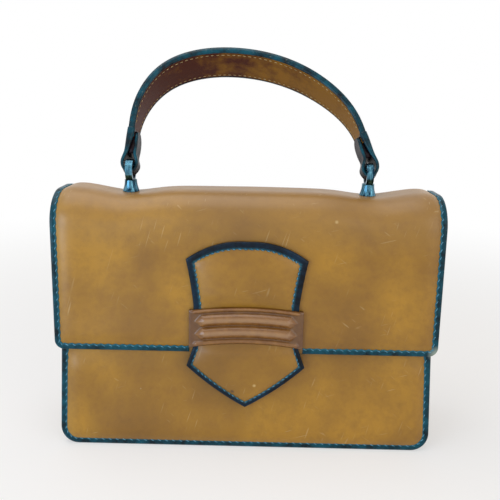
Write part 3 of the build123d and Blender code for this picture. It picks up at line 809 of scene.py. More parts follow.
def finish(name):
    """Finish by its name, made the first time that it is asked for."""
    if name in bpy.data.materials:
        return bpy.data.materials[name]
    maker, *values = FINISHES[name]
    colours = bpy.context.scene.handbag_colours
    taken = [getattr(colours, value) if isinstance(value, str) else value for value in values]
    material = bpy.data.materials.new(name)
    material.use_nodes = True
    tree = material.node_tree
    tree.nodes.clear()
    surface = add_node(tree, "BsdfPrincipled", maker(tree, add_node(tree, "TexCoord", result="Object"), *taken))
    add_node(tree, "OutputMaterial", {"Surface": surface})
    return material


# What a user may change

def length_property(name, text, size):
    """Length in metres, from millimetres."""
    return bpy.props.FloatProperty(
        name=name, description=text, default=size * MM, min=0.0, unit="LENGTH", subtype="DISTANCE", precision=5,
    )


def colour_property(name, text, code):
    """Colour from an sRGB hex value."""
    return bpy.props.FloatVectorProperty(
        name=name, description=text, default=linear(code), size=3, min=0.0, max=1.0, subtype="COLOR",
    )


class HandbagSizes(bpy.types.PropertyGroup):
    """Sizes of the trim."""
    stitch_pitch: length_property("Stitch pitch", "Distance from one stitch to the next", 4.6)
    stitch_length: length_property("Stitch length", "Length of thread that shows", 2.6)
    thread: length_property("Thread", "Thickness of the thread", 0.5)
    scallop: length_property("Scallop", "How far stitches draw in the binding's edge", 0.6)
    body_binding: length_property("Body binding", "Width of the binding round the walls", 4.5)
    crown: length_property("Shield crown", "How far the shield's padding stands up", 2.4)
    rib: length_property("Rib height", "Height of the ribs on the keeper band", 2.9)
    bead: length_property("Bead height", "Height of the beads along the keeper band", 1.3)


class HandbagColours(bpy.types.PropertyGroup):
    """Colours of the finishes."""
    tan_deep: colour_property("Deep tan", "Darker areas of the calfskin", "#835a0c")
    tan_light: colour_property("Light tan", "Lighter areas of the calfskin", "#a97a16")
    tan_stain: colour_property("Stain", "Brown mottling in the calfskin", "#6e4812")
    # Painted highlight: paler calfskin along the top of the bag, where the light falls
    tan_faded: colour_property("Faded tan", "Calfskin bleached by light along the top", "#967649")
    tan_scuff: colour_property("Scratch", "Pale hairline scratches", "#d2bb8c")
    band_deep: colour_property("Deep band", "Darker areas of the keeper band", "#74491c")
    band_light: colour_property("Light band", "Lighter areas of the keeper band", "#8d6029")
    # Painted highlight along the crowns of the ribs
    band_worn: colour_property("Worn band", "Rubbed crowns of the ribs", "#a98560")
    # Painted shade in the grooves between the ribs
    band_groove: colour_property("Band groove", "Grooves between the ribs", "#43250c")
    binding_deep: colour_property("Deep binding", "Deepest blue of the binding", "#041a22")
    binding_mid: colour_property("Binding", "Usual blue-green of the binding", "#084c5c")
    shield_deep: colour_property("Deep shield binding", "Near-black of the shield's binding", "#020811")
    shield_light: colour_property("Shield binding", "Dark blue of the shield's binding", "#08263a")
    # Painted highlight along the binding's seam
    binding_bright: colour_property("Bright binding", "Binding along its seam", "#23687a")
    binding_worn: colour_property("Worn binding", "Rubbed edge of the binding", "#a9b6a8")
    thread_deep: colour_property("Thread shade", "Shaded side of the binding's thread", "#1d5f80")
    thread_light: colour_property("Thread", "Binding's thread", "#6db0cc")
    buff_deep: colour_property("Handle thread shade", "Shaded side of the handle's thread", "#8f7444")
    buff_light: colour_property("Handle thread", "Handle's thread", "#d2bb86")
    # Deep brown and brown also serve as the painted shade and painted light across the handle's lining
    brown_deep: colour_property("Deep brown", "Darker areas of the handle's lining", "#451604")
    brown_light: colour_property("Brown", "Lighter areas of the handle's lining", "#875b10")
    # Painted shade: the loops' tan-brown leather is drawn near-black, as it lies in shade
    loop_deep: colour_property("Loop shade", "Darker areas of the loops", "#07050a")
    loop_light: colour_property("Loop", "Lighter areas of the loops", "#22131a")
    suede_deep: colour_property("Deep suede", "Darker areas of the lining", "#8a6a44")
    suede_light: colour_property("Suede", "Lighter areas of the lining", "#b2946a")
    # Painted reflection: the lugs' blue tint and dark streaks stand for reflected window light
    lug_deep: colour_property("Lug shade", "Tarnished metal of the lugs", "#0c2236")
    lug_light: colour_property("Lug", "Bright metal of the lugs", "#5f97ad")
    brass_deep: colour_property("Brass shade", "Tarnished brass", "#7a5a24")
    brass_light: colour_property("Brass", "Bright brass", "#d9b868")
    steel_deep: colour_property("Steel shade", "Dull steel", "#6b6f73")
    steel_light: colour_property("Steel", "Bright steel", "#b9bdc0")
    board_deep: colour_property("Board shade", "Darker fibres of the board", "#7b6a54")
    board_light: colour_property("Board", "Lighter fibres of the board", "#b3a288")
    floor: colour_property("Floor", "Plain floor and background", "#f4f4f2")


class HANDBAG_OT_leather_skin(bpy.types.Operator):
    """Leather of the flap and back, one hide from the flap's lower edge over the top to the foot of the back"""
    bl_idname = "handbag.leather_skin"
    bl_label = "Flap and Back Leather"

    def execute(self, context):
        rows = [travel_at(FLAP_FOOT + height) for height in corner_rows(FLAP_CORNER)]
        rows += steps(rows[-1], 1, 30)[1:] + steps(1, 2, 14)[1:] + steps(2, 3, 6)[1:] + steps(3, 4, 14)[1:]
        rows += steps(4, travel_at(EDGE_COVER + CORNER_RADIUS, back=True), 56)[1:]
        rows += [travel_at(EDGE_COVER + height, back=True) for height in reversed(corner_rows(CORNER_RADIUS))][1:]

        def place(across, travel, depth):
            half = skin_half(travel)
            x = across * half
            spot, normal = course(travel, x)
            if travel >= 4:
                edge = course(travel, half)[0].z
                spot, normal = course(travel_at(edge, back=True), x, crest=CREST_ENDS)
                level = course(travel, x)[0]
                spot = spot.lerp(level, smooth(110 * MM, 144 * MM, level.z))
            ripple = noise.noise(spot / 0.045)
            still = smooth(0, 8 * MM, abs(spot.z - HINGE_HEIGHT)) if travel >= 4 else 1.0
            quiet = smooth(0, 9 * MM, half - abs(x)) * still
            above = 1.0 if 1 <= travel < 4 else spot.z - (FLAP_FOOT if travel < 1 else 0.0)
            roll = edge_roll(half - abs(x), above) * still if depth == 0.0 else 0.0
            return spot + normal * (0.35 * MM * ripple * quiet + roll - depth)

        beside = [-1, -0.985] + steps(-0.972, -0.86, 13)
        across = beside + steps(-0.845, 0.845, 84) + [-share for share in reversed(beside)]
        skin = sheet("flap_and_back_leather", across, rows, place, FLAP_LEATHER,
                     finish("waxed_calfskin"))
        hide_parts("flap", "back_panel")
        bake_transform(skin)
        return {"FINISHED"}


class HANDBAG_OT_flap_binding(bpy.types.Operator):
    """Binding round the flap and the back wall, with its stitches"""
    bl_idname = "handbag.flap_binding"
    bl_label = "Flap and Back Binding"

    def execute(self, context):
        sizes = context.scene.handbag_sizes
        pitch = sizes.stitch_pitch
        edge = flap_and_back_edge(pitch / 6)

        def section(station):
            wide = 0.5 * MM * smooth(SEAM_END, FLAP_START, station[0].z) if station[0].y > 0 else 0.5 * MM
            return binding_section(sizes.body_binding - wide - EDGE_COVER + 0.3 * MM, 0.7 * MM, 0.6 * MM,
                                   stack_at(station[0]))

        binding = bind_edge("flap_and_back_binding", edge, section, sizes.scallop, pitch,
                            finish("dyed_edge_binding"))
        spots = seam_spots(edge, lambda place: 2.5 * MM, 0.62 * MM, pitch, 0.5)
        seam = sew("flap_and_back_stitches", spots, sizes.stitch_length, sizes.thread, finish("waxed_linen_thread"))
        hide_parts("flap_binding_left", "flap_binding_right", "back_binding")
        for piece in (binding, seam):
            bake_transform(piece)
        return {"FINISHED"}


class HANDBAG_OT_front_wall(bpy.types.Operator):
    """Front wall's leather with its binding and stitches"""
    bl_idname = "handbag.front_wall"
    bl_label = "Front Wall"

    def execute(self, context):
        sizes = context.scene.handbag_sizes
        pitch = sizes.stitch_pitch
        heights = [EDGE_COVER + height for height in corner_rows(CORNER_RADIUS)]
        heights += steps(heights[-1], FRONT_HEIGHT, 44)[1:]

        def place(across, height, depth):
            half = rounded_half(wall_half(height) - EDGE_COVER, height - EDGE_COVER, CORNER_RADIUS)
            x = across * half
            quiet = smooth(0, 10 * MM, half - abs(x)) * smooth(0, 10 * MM, height)
            quiet *= smooth(66 * MM, 52 * MM, height)
            stud = exp(-(x ** 2 + (height - STUD_HEIGHT) ** 2) / (9 * MM) ** 2)
            swell = 0.55 * MM * quiet * (1 - stud)
            crease = exp(-((x - 0.5 * MM) / (2.4 * MM)) ** 2) * smooth(8 * MM, 16 * MM, height)
            crease *= smooth(31 * MM, 22 * MM, height)
            ripple = 0.25 * MM * quiet * noise.noise(Vector((x, height, 0.7)) / 0.04)
            roll = edge_roll(half - abs(x), height) * smooth(66 * MM, 50 * MM, height)
            stand = swell + ripple + roll - 0.5 * MM * crease if depth == 0.0 else -depth
            return on_front(x, height, stand)

        wall = sheet("front_wall_leather", steps(-1, 1, 120), heights, place, PANEL_THICK,
                     finish("waxed_calfskin"))
        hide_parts("front_panel")
        edge = front_wall_edge(pitch / 6)
        section = binding_section(sizes.body_binding - EDGE_COVER, 0.7 * MM, EDGE_COVER, SEAM_THICK)
        binding = bind_edge("front_wall_binding", edge, lambda station: section, sizes.scallop, pitch,
                            finish("dyed_edge_binding"))
        spots = seam_spots(edge, lambda place: 2.7 * MM, 0.62 * MM, pitch, 0.5)
        seam = sew("front_wall_stitches", spots, sizes.stitch_length, sizes.thread, finish("waxed_linen_thread"))
        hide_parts("front_binding")
        for piece in (wall, binding, seam):
            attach(piece, "body")
        return {"FINISHED"}


def fold_at(share, height):
    """How far the folded side draws in, a share of the way from front (-1) to back (1)."""
    depth = FOLD_DEPTH * max(0.0, (height - FOLD_START) / (FRONT_HEIGHT - FOLD_START))
    sharp = 0.09
    ridge = (sqrt(1 + sharp ** 2) - sqrt(share ** 2 + sharp ** 2)) / (sqrt(1 + sharp ** 2) - sharp)
    return depth * ridge


class HANDBAG_OT_gusset(bpy.types.Operator):
    """Folded gusset round the sides and base"""
    bl_idname = "handbag.gusset"
    bl_label = "Gusset"

    def execute(self, context):
        radius = CORNER_RADIUS + EDGE_COVER - SEAM_INSET
        outline = []
        for height in steps(FRONT_HEIGHT, SEAM_INSET + radius, 48):
            outline.append((wall_half(height) - SEAM_INSET, height, 0.0))
        for angle in steps(pi / 2, 0, 8)[1:]:
            height = SEAM_INSET + radius * (1 - cos(angle))
            outline.append((wall_half(height) - SEAM_INSET - radius * (1 - sin(angle)), height, pi / 2 - angle))
        flank = list(outline)
        base = flank[-1][0]
        outline += [(x, SEAM_INSET, pi / 2) for x in steps(base, -base, 60)[1:-1]]
        outline += [(-x, height, pi - angle) for x, height, angle in reversed(flank)]
        turned = 4.5 * MM
        columns = [(-1, turned), (-1, 0.66 * turned), (-1, 0.33 * turned), (-1, 0.5 * MM)]
        columns += [(share, 0.0) for share in steps(-0.985, 0.985, 36)]
        columns += [(1, 0.5 * MM), (1, 0.33 * turned), (1, 0.66 * turned), (1, turned)]

        def place(column, row, depth):
            x, height, angle = outline[row]
            share, flange = columns[column]
            out = Vector((cos(angle), -sin(angle)))
            reach = HALF_DEPTH - SLOPE * height - SEAM_THICK
            if abs(share) == 1:
                spot = Vector((x, height)) + out * flange
                return Vector((spot.x, share * (reach + depth), spot.y))
            drawn = fold_at(share, height)
            spot = Vector((x, height)) + out * (flange - depth)
            return Vector((spot.x - (drawn if x > 0 else -drawn), share * reach, spot.y))

        leather = sheet("folded_gusset", range(len(columns)), range(len(outline)), place, GUSSET_THICK,
                        finish("waxed_calfskin"))
        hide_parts("gusset")
        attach(leather, "body")
        return {"FINISHED"}


class HANDBAG_OT_linings(bpy.types.Operator):
    """Lining of the bag and of the flap"""
    bl_idname = "handbag.linings"
    bl_label = "Linings"

    def execute(self, context):
        suede = finish("brushed_split_lining")
        inset = SEAM_INSET + GUSSET_THICK + 0.15 * MM
        ring = [("front", -1.0)]
        for side, start, count in (("front", -1, 40), ("right", -1, 20), ("back", 1, 40), ("left", 1, 20)):
            ring += [(side, share) for share in steps(start, -start, count)[1:]]
        heights = [FLOOR_HEIGHT, FLOOR_HEIGHT + 0.6 * MM, FLOOR_HEIGHT + 1.8 * MM]
        heights += steps(FLOOR_HEIGHT + 4 * MM, FRONT_HEIGHT, 36)
        bm = bmesh.new()
        for skin in (0.05 * MM, 0.8 * MM):
            def place(index, height):
                side, share = ring[index]
                low = smooth(FLOOR_HEIGHT, FLOOR_HEIGHT + 4 * MM, height)
                half = wall_half(height) - inset - skin - 3 * MM * (1 - low)
                deep = HALF_DEPTH - SLOPE * height - SEAM_THICK - skin - 0.1 * MM
                deep -= 1.0 * MM * (1 - low)
                slack = 0.25 * MM * (1 + noise.noise(Vector((share * 2.3, height / 0.03, 1.7))))
                level = height + (skin if height < FLOOR_HEIGHT + 3 * MM else 0.0)
                if side in ("front", "back"):
                    away = deep - slack * (1 - share ** 2) * low
                    return Vector((share * half, -away if side == "front" else away, level))
                drawn = half - fold_at(share, height)
                return Vector((drawn if side == "right" else -drawn, share * deep, level))

            made = lay_grid(bm, range(len(ring)), heights, place)
            bmesh.ops.remove_doubles(bm, verts=made, dist=1e-6)
            floor = [edge for edge in bm.edges if edge.is_boundary and max(v.co.z for v in edge.verts) < 12 * MM]
            bmesh.ops.holes_fill(bm, edges=floor, sides=0)
        close_rims(bm, bridge=True)
        pocket = finish_piece("bag_lining", bm, suede)
        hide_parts("lining")
        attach(pocket, "body")
        rows = steps(travel_at(LINING_FOOT), 1, 24) + steps(1, 2, 12)[1:] + steps(2, 3, 5)[1:] + steps(3, 4, 12)[1:]
        rows.append(travel_at(HINGE_HEIGHT + 0.4 * MM, back=True))

        def place(x, travel, depth):
            inner = FLAP_LEATHER + 0.05 * MM + depth
            return course(travel, x, depth=inner, crest=LINING_CREST - depth)[0]

        lining = sheet("flap_lining_leather", steps(-LINING_HALF, LINING_HALF, 60), rows, place, 0.65 * MM, suede)
        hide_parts("flap_lining")
        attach(lining, "flap_body")
        return {"FINISHED"}


class HANDBAG_OT_shield(bpy.types.Operator):
    """Padded shield and tab with their binding and stitches"""
    bl_idname = "handbag.shield"
    bl_label = "Shield and Tab"

    def execute(self, context):
        sizes = context.scene.handbag_sizes
        outline = shield_stations()
        ring = np.array([spot for spot, inward, length in outline])
        spacing = np.gradient(np.array([length for spot, inward, length in outline]))
        margin = 0.9 * MM

        def fractions(count):
            rim = 0.25 / count
            return [0.0, rim] + steps(1 / count, 1 - 1 / count, count - 2) + [1 - rim, 1.0]

        def side_points(first, last, count):
            """Even points along part of the outline, a margin in from it."""
            inner = np.array([spot + inward * margin for spot, inward, length in outline[first:last + 1]])
            lengths = np.concatenate(([0], np.cumsum(np.linalg.norm(np.diff(inner, axis=0), axis=1))))
            even = np.array(fractions(count)) * lengths[-1]
            return np.column_stack([np.interp(even, lengths, inner[:, axis]) for axis in (0, 1)])

        tops = 2 * TOP_RUN
        right = tops + SIDE_RUN + BELT_RUN + FLARE_RUN
        low = right + 2 * POINT_RUN
        columns, rows = 46, 64
        top = side_points(0, tops, columns)
        east = side_points(tops, right, rows)[::-1]
        bottom = side_points(right, low, columns)[::-1]
        west = side_points(low, len(outline) - 1, rows)
        us, vs = fractions(columns), fractions(rows)

        def flat(column, row):
            u, v = us[column], vs[row]
            edges = (1 - v) * bottom[column] + v * top[column] + (1 - u) * west[row] + u * east[row]
            corners = (1 - u) * (1 - v) * bottom[0] + u * (1 - v) * bottom[-1]
            corners = corners + (1 - u) * v * top[0] + u * v * top[-1]
            return edges - corners

        def rise(column, row):
            if column in (0, len(us) - 1) or row in (0, len(vs) - 1):
                return 0.08 * MM
            x, height = flat(column, row)
            away = np.linalg.norm(ring - (x, height), axis=1)
            width = shield_width(height)
            lift = 1.75 * MM + 0.75 * MM * smooth(0.7 * width, width + 0.5 * MM, float(np.min(away)))
            # A sum over the whole outline keeps the crown free of creases where two sides are equally near
            inside = float(np.sum(spacing * away ** -4.0) * 2 / pi) ** (-1 / 3) - 0.8 * width
            puff = 1 - exp(-max(0.0, inside) / (2.2 * MM))
            crown = 1 - exp(-(max(0.0, inside) / (9 * MM)) ** 1.5)
            free = smooth(BAND_TOP - 1 * MM, BAND_TOP + 8 * MM, height)
            free += smooth(BAND_BOTTOM + 1 * MM, BAND_BOTTOM - 7 * MM, height)
            return lift + 1.1 * MM * puff * (0.5 + 0.5 * free) + sizes.crown * crown * free

        def upper(column, row):
            x, height = flat(column, row)
            return on_front(x, height, FLAP_STAND + rise(column, row))

        def under(column, row):
            x, height = flat(column, row)
            return on_front(x, height, FLAP_STAND + 0.08 * MM)

        bm = bmesh.new()
        for place in (upper, under):
            lay_grid(bm, range(len(us)), range(len(vs)), place)
        bmesh.ops.remove_doubles(bm, verts=bm.verts, dist=1e-6)
        pad = finish_piece("padded_shield", bm, finish("waxed_calfskin"))
        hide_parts("shield")

        stations = []
        for spot, inward, length in outline:
            place = on_front(spot.x, spot.y, FLAP_STAND)
            stations.append((place, on_front(*(spot + inward), FLAP_STAND) - place, FRONT_NORMAL, length))

        def section(station):
            width = shield_width(station[0].z)
            return [
                (width, 2.35 * MM), (width - 0.1 * MM, 2.75 * MM), (width - 0.6 * MM, 3.0 * MM),
                (0.5 * width, 3.1 * MM), (0.3 * width, 3.08 * MM), (0.8 * MM, 3.0 * MM), (0.35 * MM, 2.8 * MM),
                (0.08 * MM, 2.4 * MM), (0.0, 1.6 * MM), (0.05 * MM, 0.5 * MM), (0.3 * MM, 0.08 * MM),
                (0.82 * MM, 0.05 * MM), (0.86 * MM, 1.65 * MM), (0.6 * width, 1.9 * MM), (width, 2.35 * MM),
            ]

        pitch = 0.8 * sizes.stitch_pitch
        binding = bind_edge("shield_edge_binding", stations, section, 0.9 * sizes.scallop, pitch,
                            finish("dyed_shield_binding"), ends=False)
        spots = seam_spots(stations, lambda place: shield_width(place.z) - 0.7 * MM, 2.98 * MM, pitch, 0.4)
        shown = [spot for spot in spots if not BAND_BOTTOM - 1 * MM < spot[0].z < BAND_TOP + 1 * MM]
        seam = sew("shield_stitches", shown, 0.8 * sizes.stitch_length, 0.9 * sizes.thread,
                   finish("waxed_linen_thread"))
        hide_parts("shield_binding")
        for piece in (pad, binding, seam):
            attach(piece, "flap_body")
        return {"FINISHED"}


class HANDBAG_OT_keeper_band(bpy.types.Operator):
    """Ribbed keeper band over the shield's waist"""
    bl_idname = "handbag.keeper_band"
    bl_label = "Keeper Band"

    def execute(self, context):
        sizes = context.scene.handbag_sizes
        ridges = (
            (BAND_TOP - 1.3 * MM, 1.3 * MM, sizes.bead, BAND_HALF - 1.4 * MM),
            (BAND_TOP - 7.4 * MM, 3.9 * MM, sizes.rib, 31.8 * MM),
            (BAND_TOP - 15.4 * MM, 3.9 * MM, sizes.rib, 31.8 * MM),
            (BAND_BOTTOM + 2.0 * MM, 1.7 * MM, sizes.bead, BAND_HALF - 2.2 * MM),
        )

        def relief(x, level):
            height = 0.0
            for middle, half, lift, reach in ridges:
                beside = abs(level - middle)
                inside = min((half - beside) / half, (reach - abs(x) - beside) * 0.55 / half)
                if inside > 0:
                    height = max(height, lift * (1 - (1 - min(inside, 1.0)) ** 2))
            return height

        columns = [-BAND_HALF, -BAND_HALF + 0.02 * MM, -BAND_HALF + 0.35 * MM, -34.4 * MM, -33.9 * MM, -33.4 * MM]
        columns += steps(-32.8 * MM, 32.8 * MM, 110)
        columns += [-value for value in reversed(columns[:6])]
        levels = [BAND_BOTTOM, BAND_BOTTOM + 0.02 * MM, BAND_BOTTOM + 0.25 * MM]
        levels += steps(BAND_BOTTOM + 0.5 * MM, BAND_TOP - 0.5 * MM, 66)
        levels += [BAND_TOP - 0.25 * MM, BAND_TOP - 0.02 * MM, BAND_TOP]

        def flat(x, level):
            return BAND_CENTRE + sqrt((level - BAND_CENTRE) ** 2 - x ** 2)

        def under(x, level):
            return on_front(x, flat(x, level), FLAP_STAND + (BAND_SEAT if abs(x) < 33.6 * MM else 0.05 * MM))

        def upper(x, level):
            if abs(x) >= BAND_HALF - 1e-9 or level in (BAND_BOTTOM, BAND_TOP):
                return under(x, level)
            edge = min(BAND_HALF - abs(x), level - BAND_BOTTOM, BAND_TOP - level)
            soft = 0.5 * MM * (1 - smooth(0, 0.8 * MM, edge))
            grain = 0.05 * MM * noise.noise(Vector((x, level, 0.3)) / 0.004)
            return on_front(x, flat(x, level), FLAP_STAND + BAND_SEAT + 1.1 * MM - soft + relief(x, level) + grain)

        bm = bmesh.new()
        lay_grid(bm, columns, levels, upper, lambda x, level: (x, relief(x, level) / sizes.rib))
        lay_grid(bm, columns, levels, under, lambda x, level: (x, 0.5))
        bmesh.ops.remove_doubles(bm, verts=bm.verts, dist=1e-6)
        band = finish_piece("ribbed_keeper_band", bm, finish("burnished_strap_leather"))
        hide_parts("keeper_band")
        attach(band, "flap_body")
        return {"FINISHED"}


class HANDBAG_OT_handle(bpy.types.Operator):
    """Handle: strap, lining, bound edges and stitches"""
    bl_idname = "handbag.handle"
    bl_label = "Handle"

    def execute(self, context):
        shares = steps(STRAP_END / ARCH_LENGTH, 1 - STRAP_END / ARCH_LENGTH, 150)
        inner_face = HALF_STACK - STRAP_THICK

        def strap(across, share, depth):
            crown = 0.3 * MM * (1 - across ** 2) if depth == 0.0 else 0.0
            return strap_point(share, across, HALF_STACK + crown - depth)

        def lining(across, share, depth):
            sag = 0.25 * MM * (1 - across ** 2) if depth > 0.0 else 0.0
            return strap_point(share, across, inner_face - 0.02 * MM - sag - depth)

        top = sheet("handle_strap_leather", steps(-1, 1, 14), shares, strap, STRAP_THICK,
                    finish("waxed_calfskin"))
        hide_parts("handle_strap")
        below = sheet("handle_lining_leather", steps(-1, 1, 14), shares, lining, 1.36 * MM,
                      finish("handle_lining_split"))
        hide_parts("handle_lining")
        pieces = [top, below]
        section = binding_section(2.2 * MM, 0.2 * MM, 0.5 * MM, 2 * HALF_STACK, 1.1 * MM, 2.2)
        for name, side in (("front", 1), ("rear", -1)):
            roll = bind_edge(f"handle_edge_{name}", strap_edge(side, 0.75 * MM), lambda station: section,
                             0.2 * MM, 4 * MM, finish("dyed_handle_edge"))
            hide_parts(f"handle_binding_{name}")
            pieces.append(roll)
        spots = []
        for across in (-1, 1):
            for share in steps(0.1, 0.9, round(0.8 * ARCH_LENGTH / (3.6 * MM))):
                for shift in (-HALF_STACK - 0.18 * MM, HALF_STACK + 0.18 * MM):
                    rise = line_at(ARCH, share, shift)[1]
                    inset = (handle_half(rise) - 3.7 * MM) / (handle_half(rise) - 0.6 * MM)
                    place = strap_point(share, across * inset, shift)
                    ahead = strap_point(share + 0.004, across * inset, shift) - place
                    normal = strap_point(share, across * inset, shift * 1.5) - place
                    spots.append((place, ahead.normalized(), normal.normalized()))
        seam = sew("handle_stitches", spots, 2.3 * MM, 0.5 * MM, finish("buff_linen_thread"))
        for piece in pieces + [seam]:
            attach(piece, "handle")
        return {"FINISHED"}


class HANDBAG_OT_loops(bpy.types.Operator):
    """Ends of the strap, turned round the rings and up again inside"""
    bl_idname = "handbag.loops"
    bl_label = "Loops"

    def execute(self, context):
        section = [
            (-1.0, 0.0), (-0.97, 0.62), (-0.88, 0.95), (-0.72, 0.9), (-0.6, 0.84), (0.0, 0.84), (0.6, 0.84),
            (0.72, 0.9), (0.88, 0.95), (0.97, 0.62), (1.0, 0.0),
        ]
        section += [(across, -lift) for across, lift in reversed(section[1:-1])] + section[:1]
        for name, side in (("left", -1), ("right", 1)):
            reaches = (LOOP_LENGTH, 12 * MM, 6 * MM, 1.5 * MM)
            shares = [reach / ARCH_LENGTH if side < 0 else 1 - reach / ARCH_LENGTH for reach in reaches]
            outer = [line_at(ARCH, share, shift * MM) for share, shift in zip(shares, (0.0, 0.7, 1.9, 3.2))]
            inner = [line_at(ARCH, share, -shift * MM) for share, shift in zip(shares, (3.2, 3.4, 3.2, 2.9))]
            centre = side * LUG_X
            fold = [(centre + side * 5.0 * MM, 3 * MM), (centre, -2.2 * MM), (centre - side * 4.2 * MM, 3 * MM)]
            route = np.array(outer + fold + inner[::-1])
            line = smooth_line(route, route[1] - route[0], route[-1] - route[-2], count=120)
            length = float(np.sum(np.linalg.norm(np.diff(line, axis=0), axis=1)))

            def turned(index, share):
                across, lift = section[index]
                level = line_at(line, share)[1]
                thick = LOOP_THICK + 3.0 * MM * smooth(0.36, 0.02, share)
                x, rise = line_at(line, share, lift * thick / 2)
                half = 3.3 * MM + 2.7 * MM * smooth(-0.8 * MM, 9 * MM, level)
                half += 1.2 * MM * smooth(9 * MM, 24 * MM, level)
                half += (handle_half(level) + 0.35 * MM - half) * smooth(0.32, 0.1, share)
                tip = min((1 - share) * length / (5.5 * MM), 1.0)
                return in_handle(x, rise, across * half * max(sqrt(1 - (1 - tip) ** 2), 0.12))

            def filler(index, share):
                across, lift = section[index]
                spot = shares[0] + (shares[3] - shares[0]) * (0.06 + 0.9 * share)
                x, rise = line_at(ARCH, spot, (-0.9 + 2.3 * lift) * MM)
                return in_handle(x, rise, across * 5.0 * MM)

            places = steps(0.0, 0.88, 70) + [0.9, 0.925, 0.95, 0.97, 0.985, 0.994, 1.0]
            bm = bmesh.new()
            for place, along in ((turned, places), (filler, steps(0, 1, 4))):
                made = lay_grid(bm, range(len(section)), along, place,
                                lambda index, share: (share + (side * section[index][1] < 0),
                                                      3 * (1 - abs(section[index][0]))))
                bmesh.ops.remove_doubles(bm, verts=made, dist=1e-6)
                close_rims(bm)
                if place is turned:
                    marked = bm.loops.layers.uv["UVMap"]
                    for face in bm.faces:
                        middle = sum((loop[marked].uv for loop in face.loops), Vector((0, 0))) / len(face.loops)
                        # Past the start of its outer face, and in the filler, the loop takes the near-black painted
                        # shade
                        face.material_index = 1 if middle.y < 0.6 else 2 if middle.x < 0.3 else 0
            loop = finish_piece(f"handle_loop_{name}", bm, finish("loop_split"), finish("dyed_edge_binding"),
                                finish("waxed_calfskin"))
            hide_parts(f"loop_{name}")
            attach(loop, "handle")
        return {"FINISHED"}


class HANDBAG_OT_fittings(bpy.types.Operator):
    """Finishes of the metal fittings and the board, which keep their solids' shapes"""
    bl_idname = "handbag.fittings"
    bl_label = "Fittings"

    def execute(self, context):
        finishes = {
            "blued_plate": ("lug_left", "lug_right"),
            "pressed_brass": ("snap_stud", "snap_washer", "snap_socket"),
            "tinned_steel": ("stiffening_plate", "lug_washer_left", "lug_washer_right"),
            "pressed_fibre_board": ("base_board",),
        }
        for coat, names in finishes.items():
            for name in names:
                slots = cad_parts[name].material_slots
                if not len(slots):
                    raise RuntimeError(f"{name} has no material slot")
                for place in slots:
                    place.material = finish(coat)
        return {"FINISHED"}


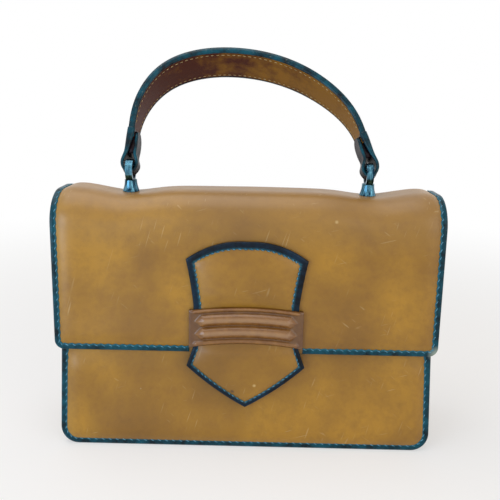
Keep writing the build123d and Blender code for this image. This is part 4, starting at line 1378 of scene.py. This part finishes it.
class HANDBAG_OT_stage(bpy.types.Operator):
    """Plain floor, soft lamps and the photograph's camera"""
    bl_idname = "handbag.stage"
    bl_label = "Stage"

    def execute(self, context):
        scene = context.scene
        bm = bmesh.new()
        bmesh.ops.create_grid(bm, x_segments=1, y_segments=1, size=6.0)
        material = bpy.data.materials.new("plain_floor")
        material.use_nodes = True
        tree = material.node_tree
        tree.nodes.clear()
        place = add_node(tree, "TexCoord", result="Object")
        tone = add_node(tree, "TexNoise", {"Vector": place, "Scale": 1 / 0.3, "Detail": 2.0})
        tone = add_node(tree, "Mix", {
            0: tone, 6: scene.handbag_colours.floor, 7: linear("#f9f9f7"),
        }, 2, data_type="RGBA")
        paper = add_node(tree, "BsdfPrincipled", {"Base Color": tone, "Roughness": 0.8, "Specular IOR Level": 0.2})
        glow = add_node(tree, "Emission", {"Color": (1.0, 1.0, 1.0)})
        # What looks at the floor sees it pale, and white further off, with the bag's shadow on it
        away = add_node(tree, "VectorMath", {0: place}, "Value", operation="LENGTH")
        away = add_node(tree, "MapRange", {"Value": away, "From Min": 0.16, "From Max": 0.8, "To Min": 0.5},
                        interpolation_type="SMOOTHSTEP")
        shown = self.shown_rays(tree)
        share = add_node(tree, "Math", {0: away, 1: shown}, operation="MULTIPLY")
        surface = add_node(tree, "MixShader", {0: share, 1: paper, 2: glow})
        add_node(tree, "OutputMaterial", {"Surface": surface})
        floor = finish_piece("floor", bm, material)

        # Found by fitting marked points of the bag to the photograph
        camera = bpy.data.cameras.new("photograph")
        camera.sensor_width = 36.0
        camera.lens = 43.2
        viewer = bpy.data.objects.new("photograph", camera)
        scene.collection.objects.link(viewer)
        yaw, pitch, roll = radians(-0.61), radians(14.87), radians(1.01)
        ahead = Vector((sin(yaw) * cos(pitch), cos(yaw) * cos(pitch), -sin(pitch)))
        right = Vector((cos(yaw), -sin(yaw), 0))
        up = right.cross(ahead)
        level = right * cos(roll) + up * sin(roll)
        rise = up * cos(roll) - right * sin(roll)
        viewer.matrix_world = Matrix((level, rise, -ahead)).transposed().to_4x4()
        viewer.location = (0.0053, -0.3817, 0.2248)
        scene.camera = viewer

        for name, spot, aim, size, power, tint in (
            ("window", (-0.58, -0.62, 0.22), (-0.04, 0.0, 0.1), 0.5, 3.4, "#d0e6ff"),
            ("room", (0.7, -0.8, 0.5), (0.0, 0.0, 0.09), 0.9, 3.3, "#fff3e6"),
            ("ceiling", (-0.2, 0.0, 1.0), (0.0, 0.0, 0.1), 0.8, 4.0, "#fff4ee"),
        ):
            lamp = bpy.data.lights.new(name, "AREA")
            lamp.size = size
            lamp.energy = power
            lamp.color = linear(tint)
            holder = bpy.data.objects.new(name, lamp)
            scene.collection.objects.link(holder)
            holder.location = spot
            holder.rotation_euler = (Vector(aim) - Vector(spot)).to_track_quat("-Z", "Y").to_euler()

        world = bpy.data.worlds.new("plain_room")
        scene.world = world
        world.use_nodes = True
        tree = world.node_tree
        tree.nodes.clear()
        soft = add_node(tree, "Background", {"Color": (1.0, 1.0, 1.0), "Strength": 0.4})
        white = add_node(tree, "Background", {"Color": (1.0, 1.0, 1.0), "Strength": 1.0})
        mixed = add_node(tree, "MixShader", {0: self.shown_rays(tree), 1: soft, 2: white})
        add_node(tree, "OutputWorld", {"Surface": mixed})
        scene.view_settings.view_transform = "Standard"
        return {"FINISHED"}

    def shown_rays(self, tree):
        """1 for a ray from the camera, or one mirrored or passed on towards it."""
        shown = None
        for ray in ("Is Camera Ray", "Is Glossy Ray", "Is Transmission Ray"):
            found = add_node(tree, "LightPath", result=ray)
            shown = add_node(tree, "Math", {0: shown, 1: found}, operation="MAXIMUM") if shown else found
        return shown


OPERATORS = (
    HANDBAG_OT_stage, HANDBAG_OT_leather_skin, HANDBAG_OT_flap_binding, HANDBAG_OT_front_wall, HANDBAG_OT_gusset,
    HANDBAG_OT_linings, HANDBAG_OT_shield, HANDBAG_OT_keeper_band, HANDBAG_OT_handle, HANDBAG_OT_loops,
    HANDBAG_OT_fittings,
)


class HANDBAG_PT_sidebar(bpy.types.Panel):
    """Handbag's pieces and their sizes"""
    bl_idname = "HANDBAG_PT_sidebar"
    bl_label = "Leather Flap Handbag"
    bl_space_type = "VIEW_3D"
    bl_region_type = "UI"
    bl_category = "Handbag"

    def draw(self, context):
        for operator in OPERATORS:
            self.layout.operator(operator.bl_idname)
        for group in (context.scene.handbag_sizes, context.scene.handbag_colours):
            box = self.layout.box()
            for name in group.__annotations__:
                box.prop(group, name)


CLASSES = (HandbagSizes, HandbagColours, *OPERATORS, HANDBAG_PT_sidebar)


def register():
    for item in CLASSES:
        bpy.utils.register_class(item)
    bpy.types.Scene.handbag_sizes = bpy.props.PointerProperty(type=HandbagSizes)
    bpy.types.Scene.handbag_colours = bpy.props.PointerProperty(type=HandbagColours)


def unregister():
    del bpy.types.Scene.handbag_colours
    del bpy.types.Scene.handbag_sizes
    for item in reversed(CLASSES):
        bpy.utils.unregister_class(item)


def main():
    register()
    for operator in OPERATORS:
        group, name = operator.bl_idname.split(".")
        getattr(getattr(bpy.ops, group), name)()


if __name__ == "__main__":
    main()
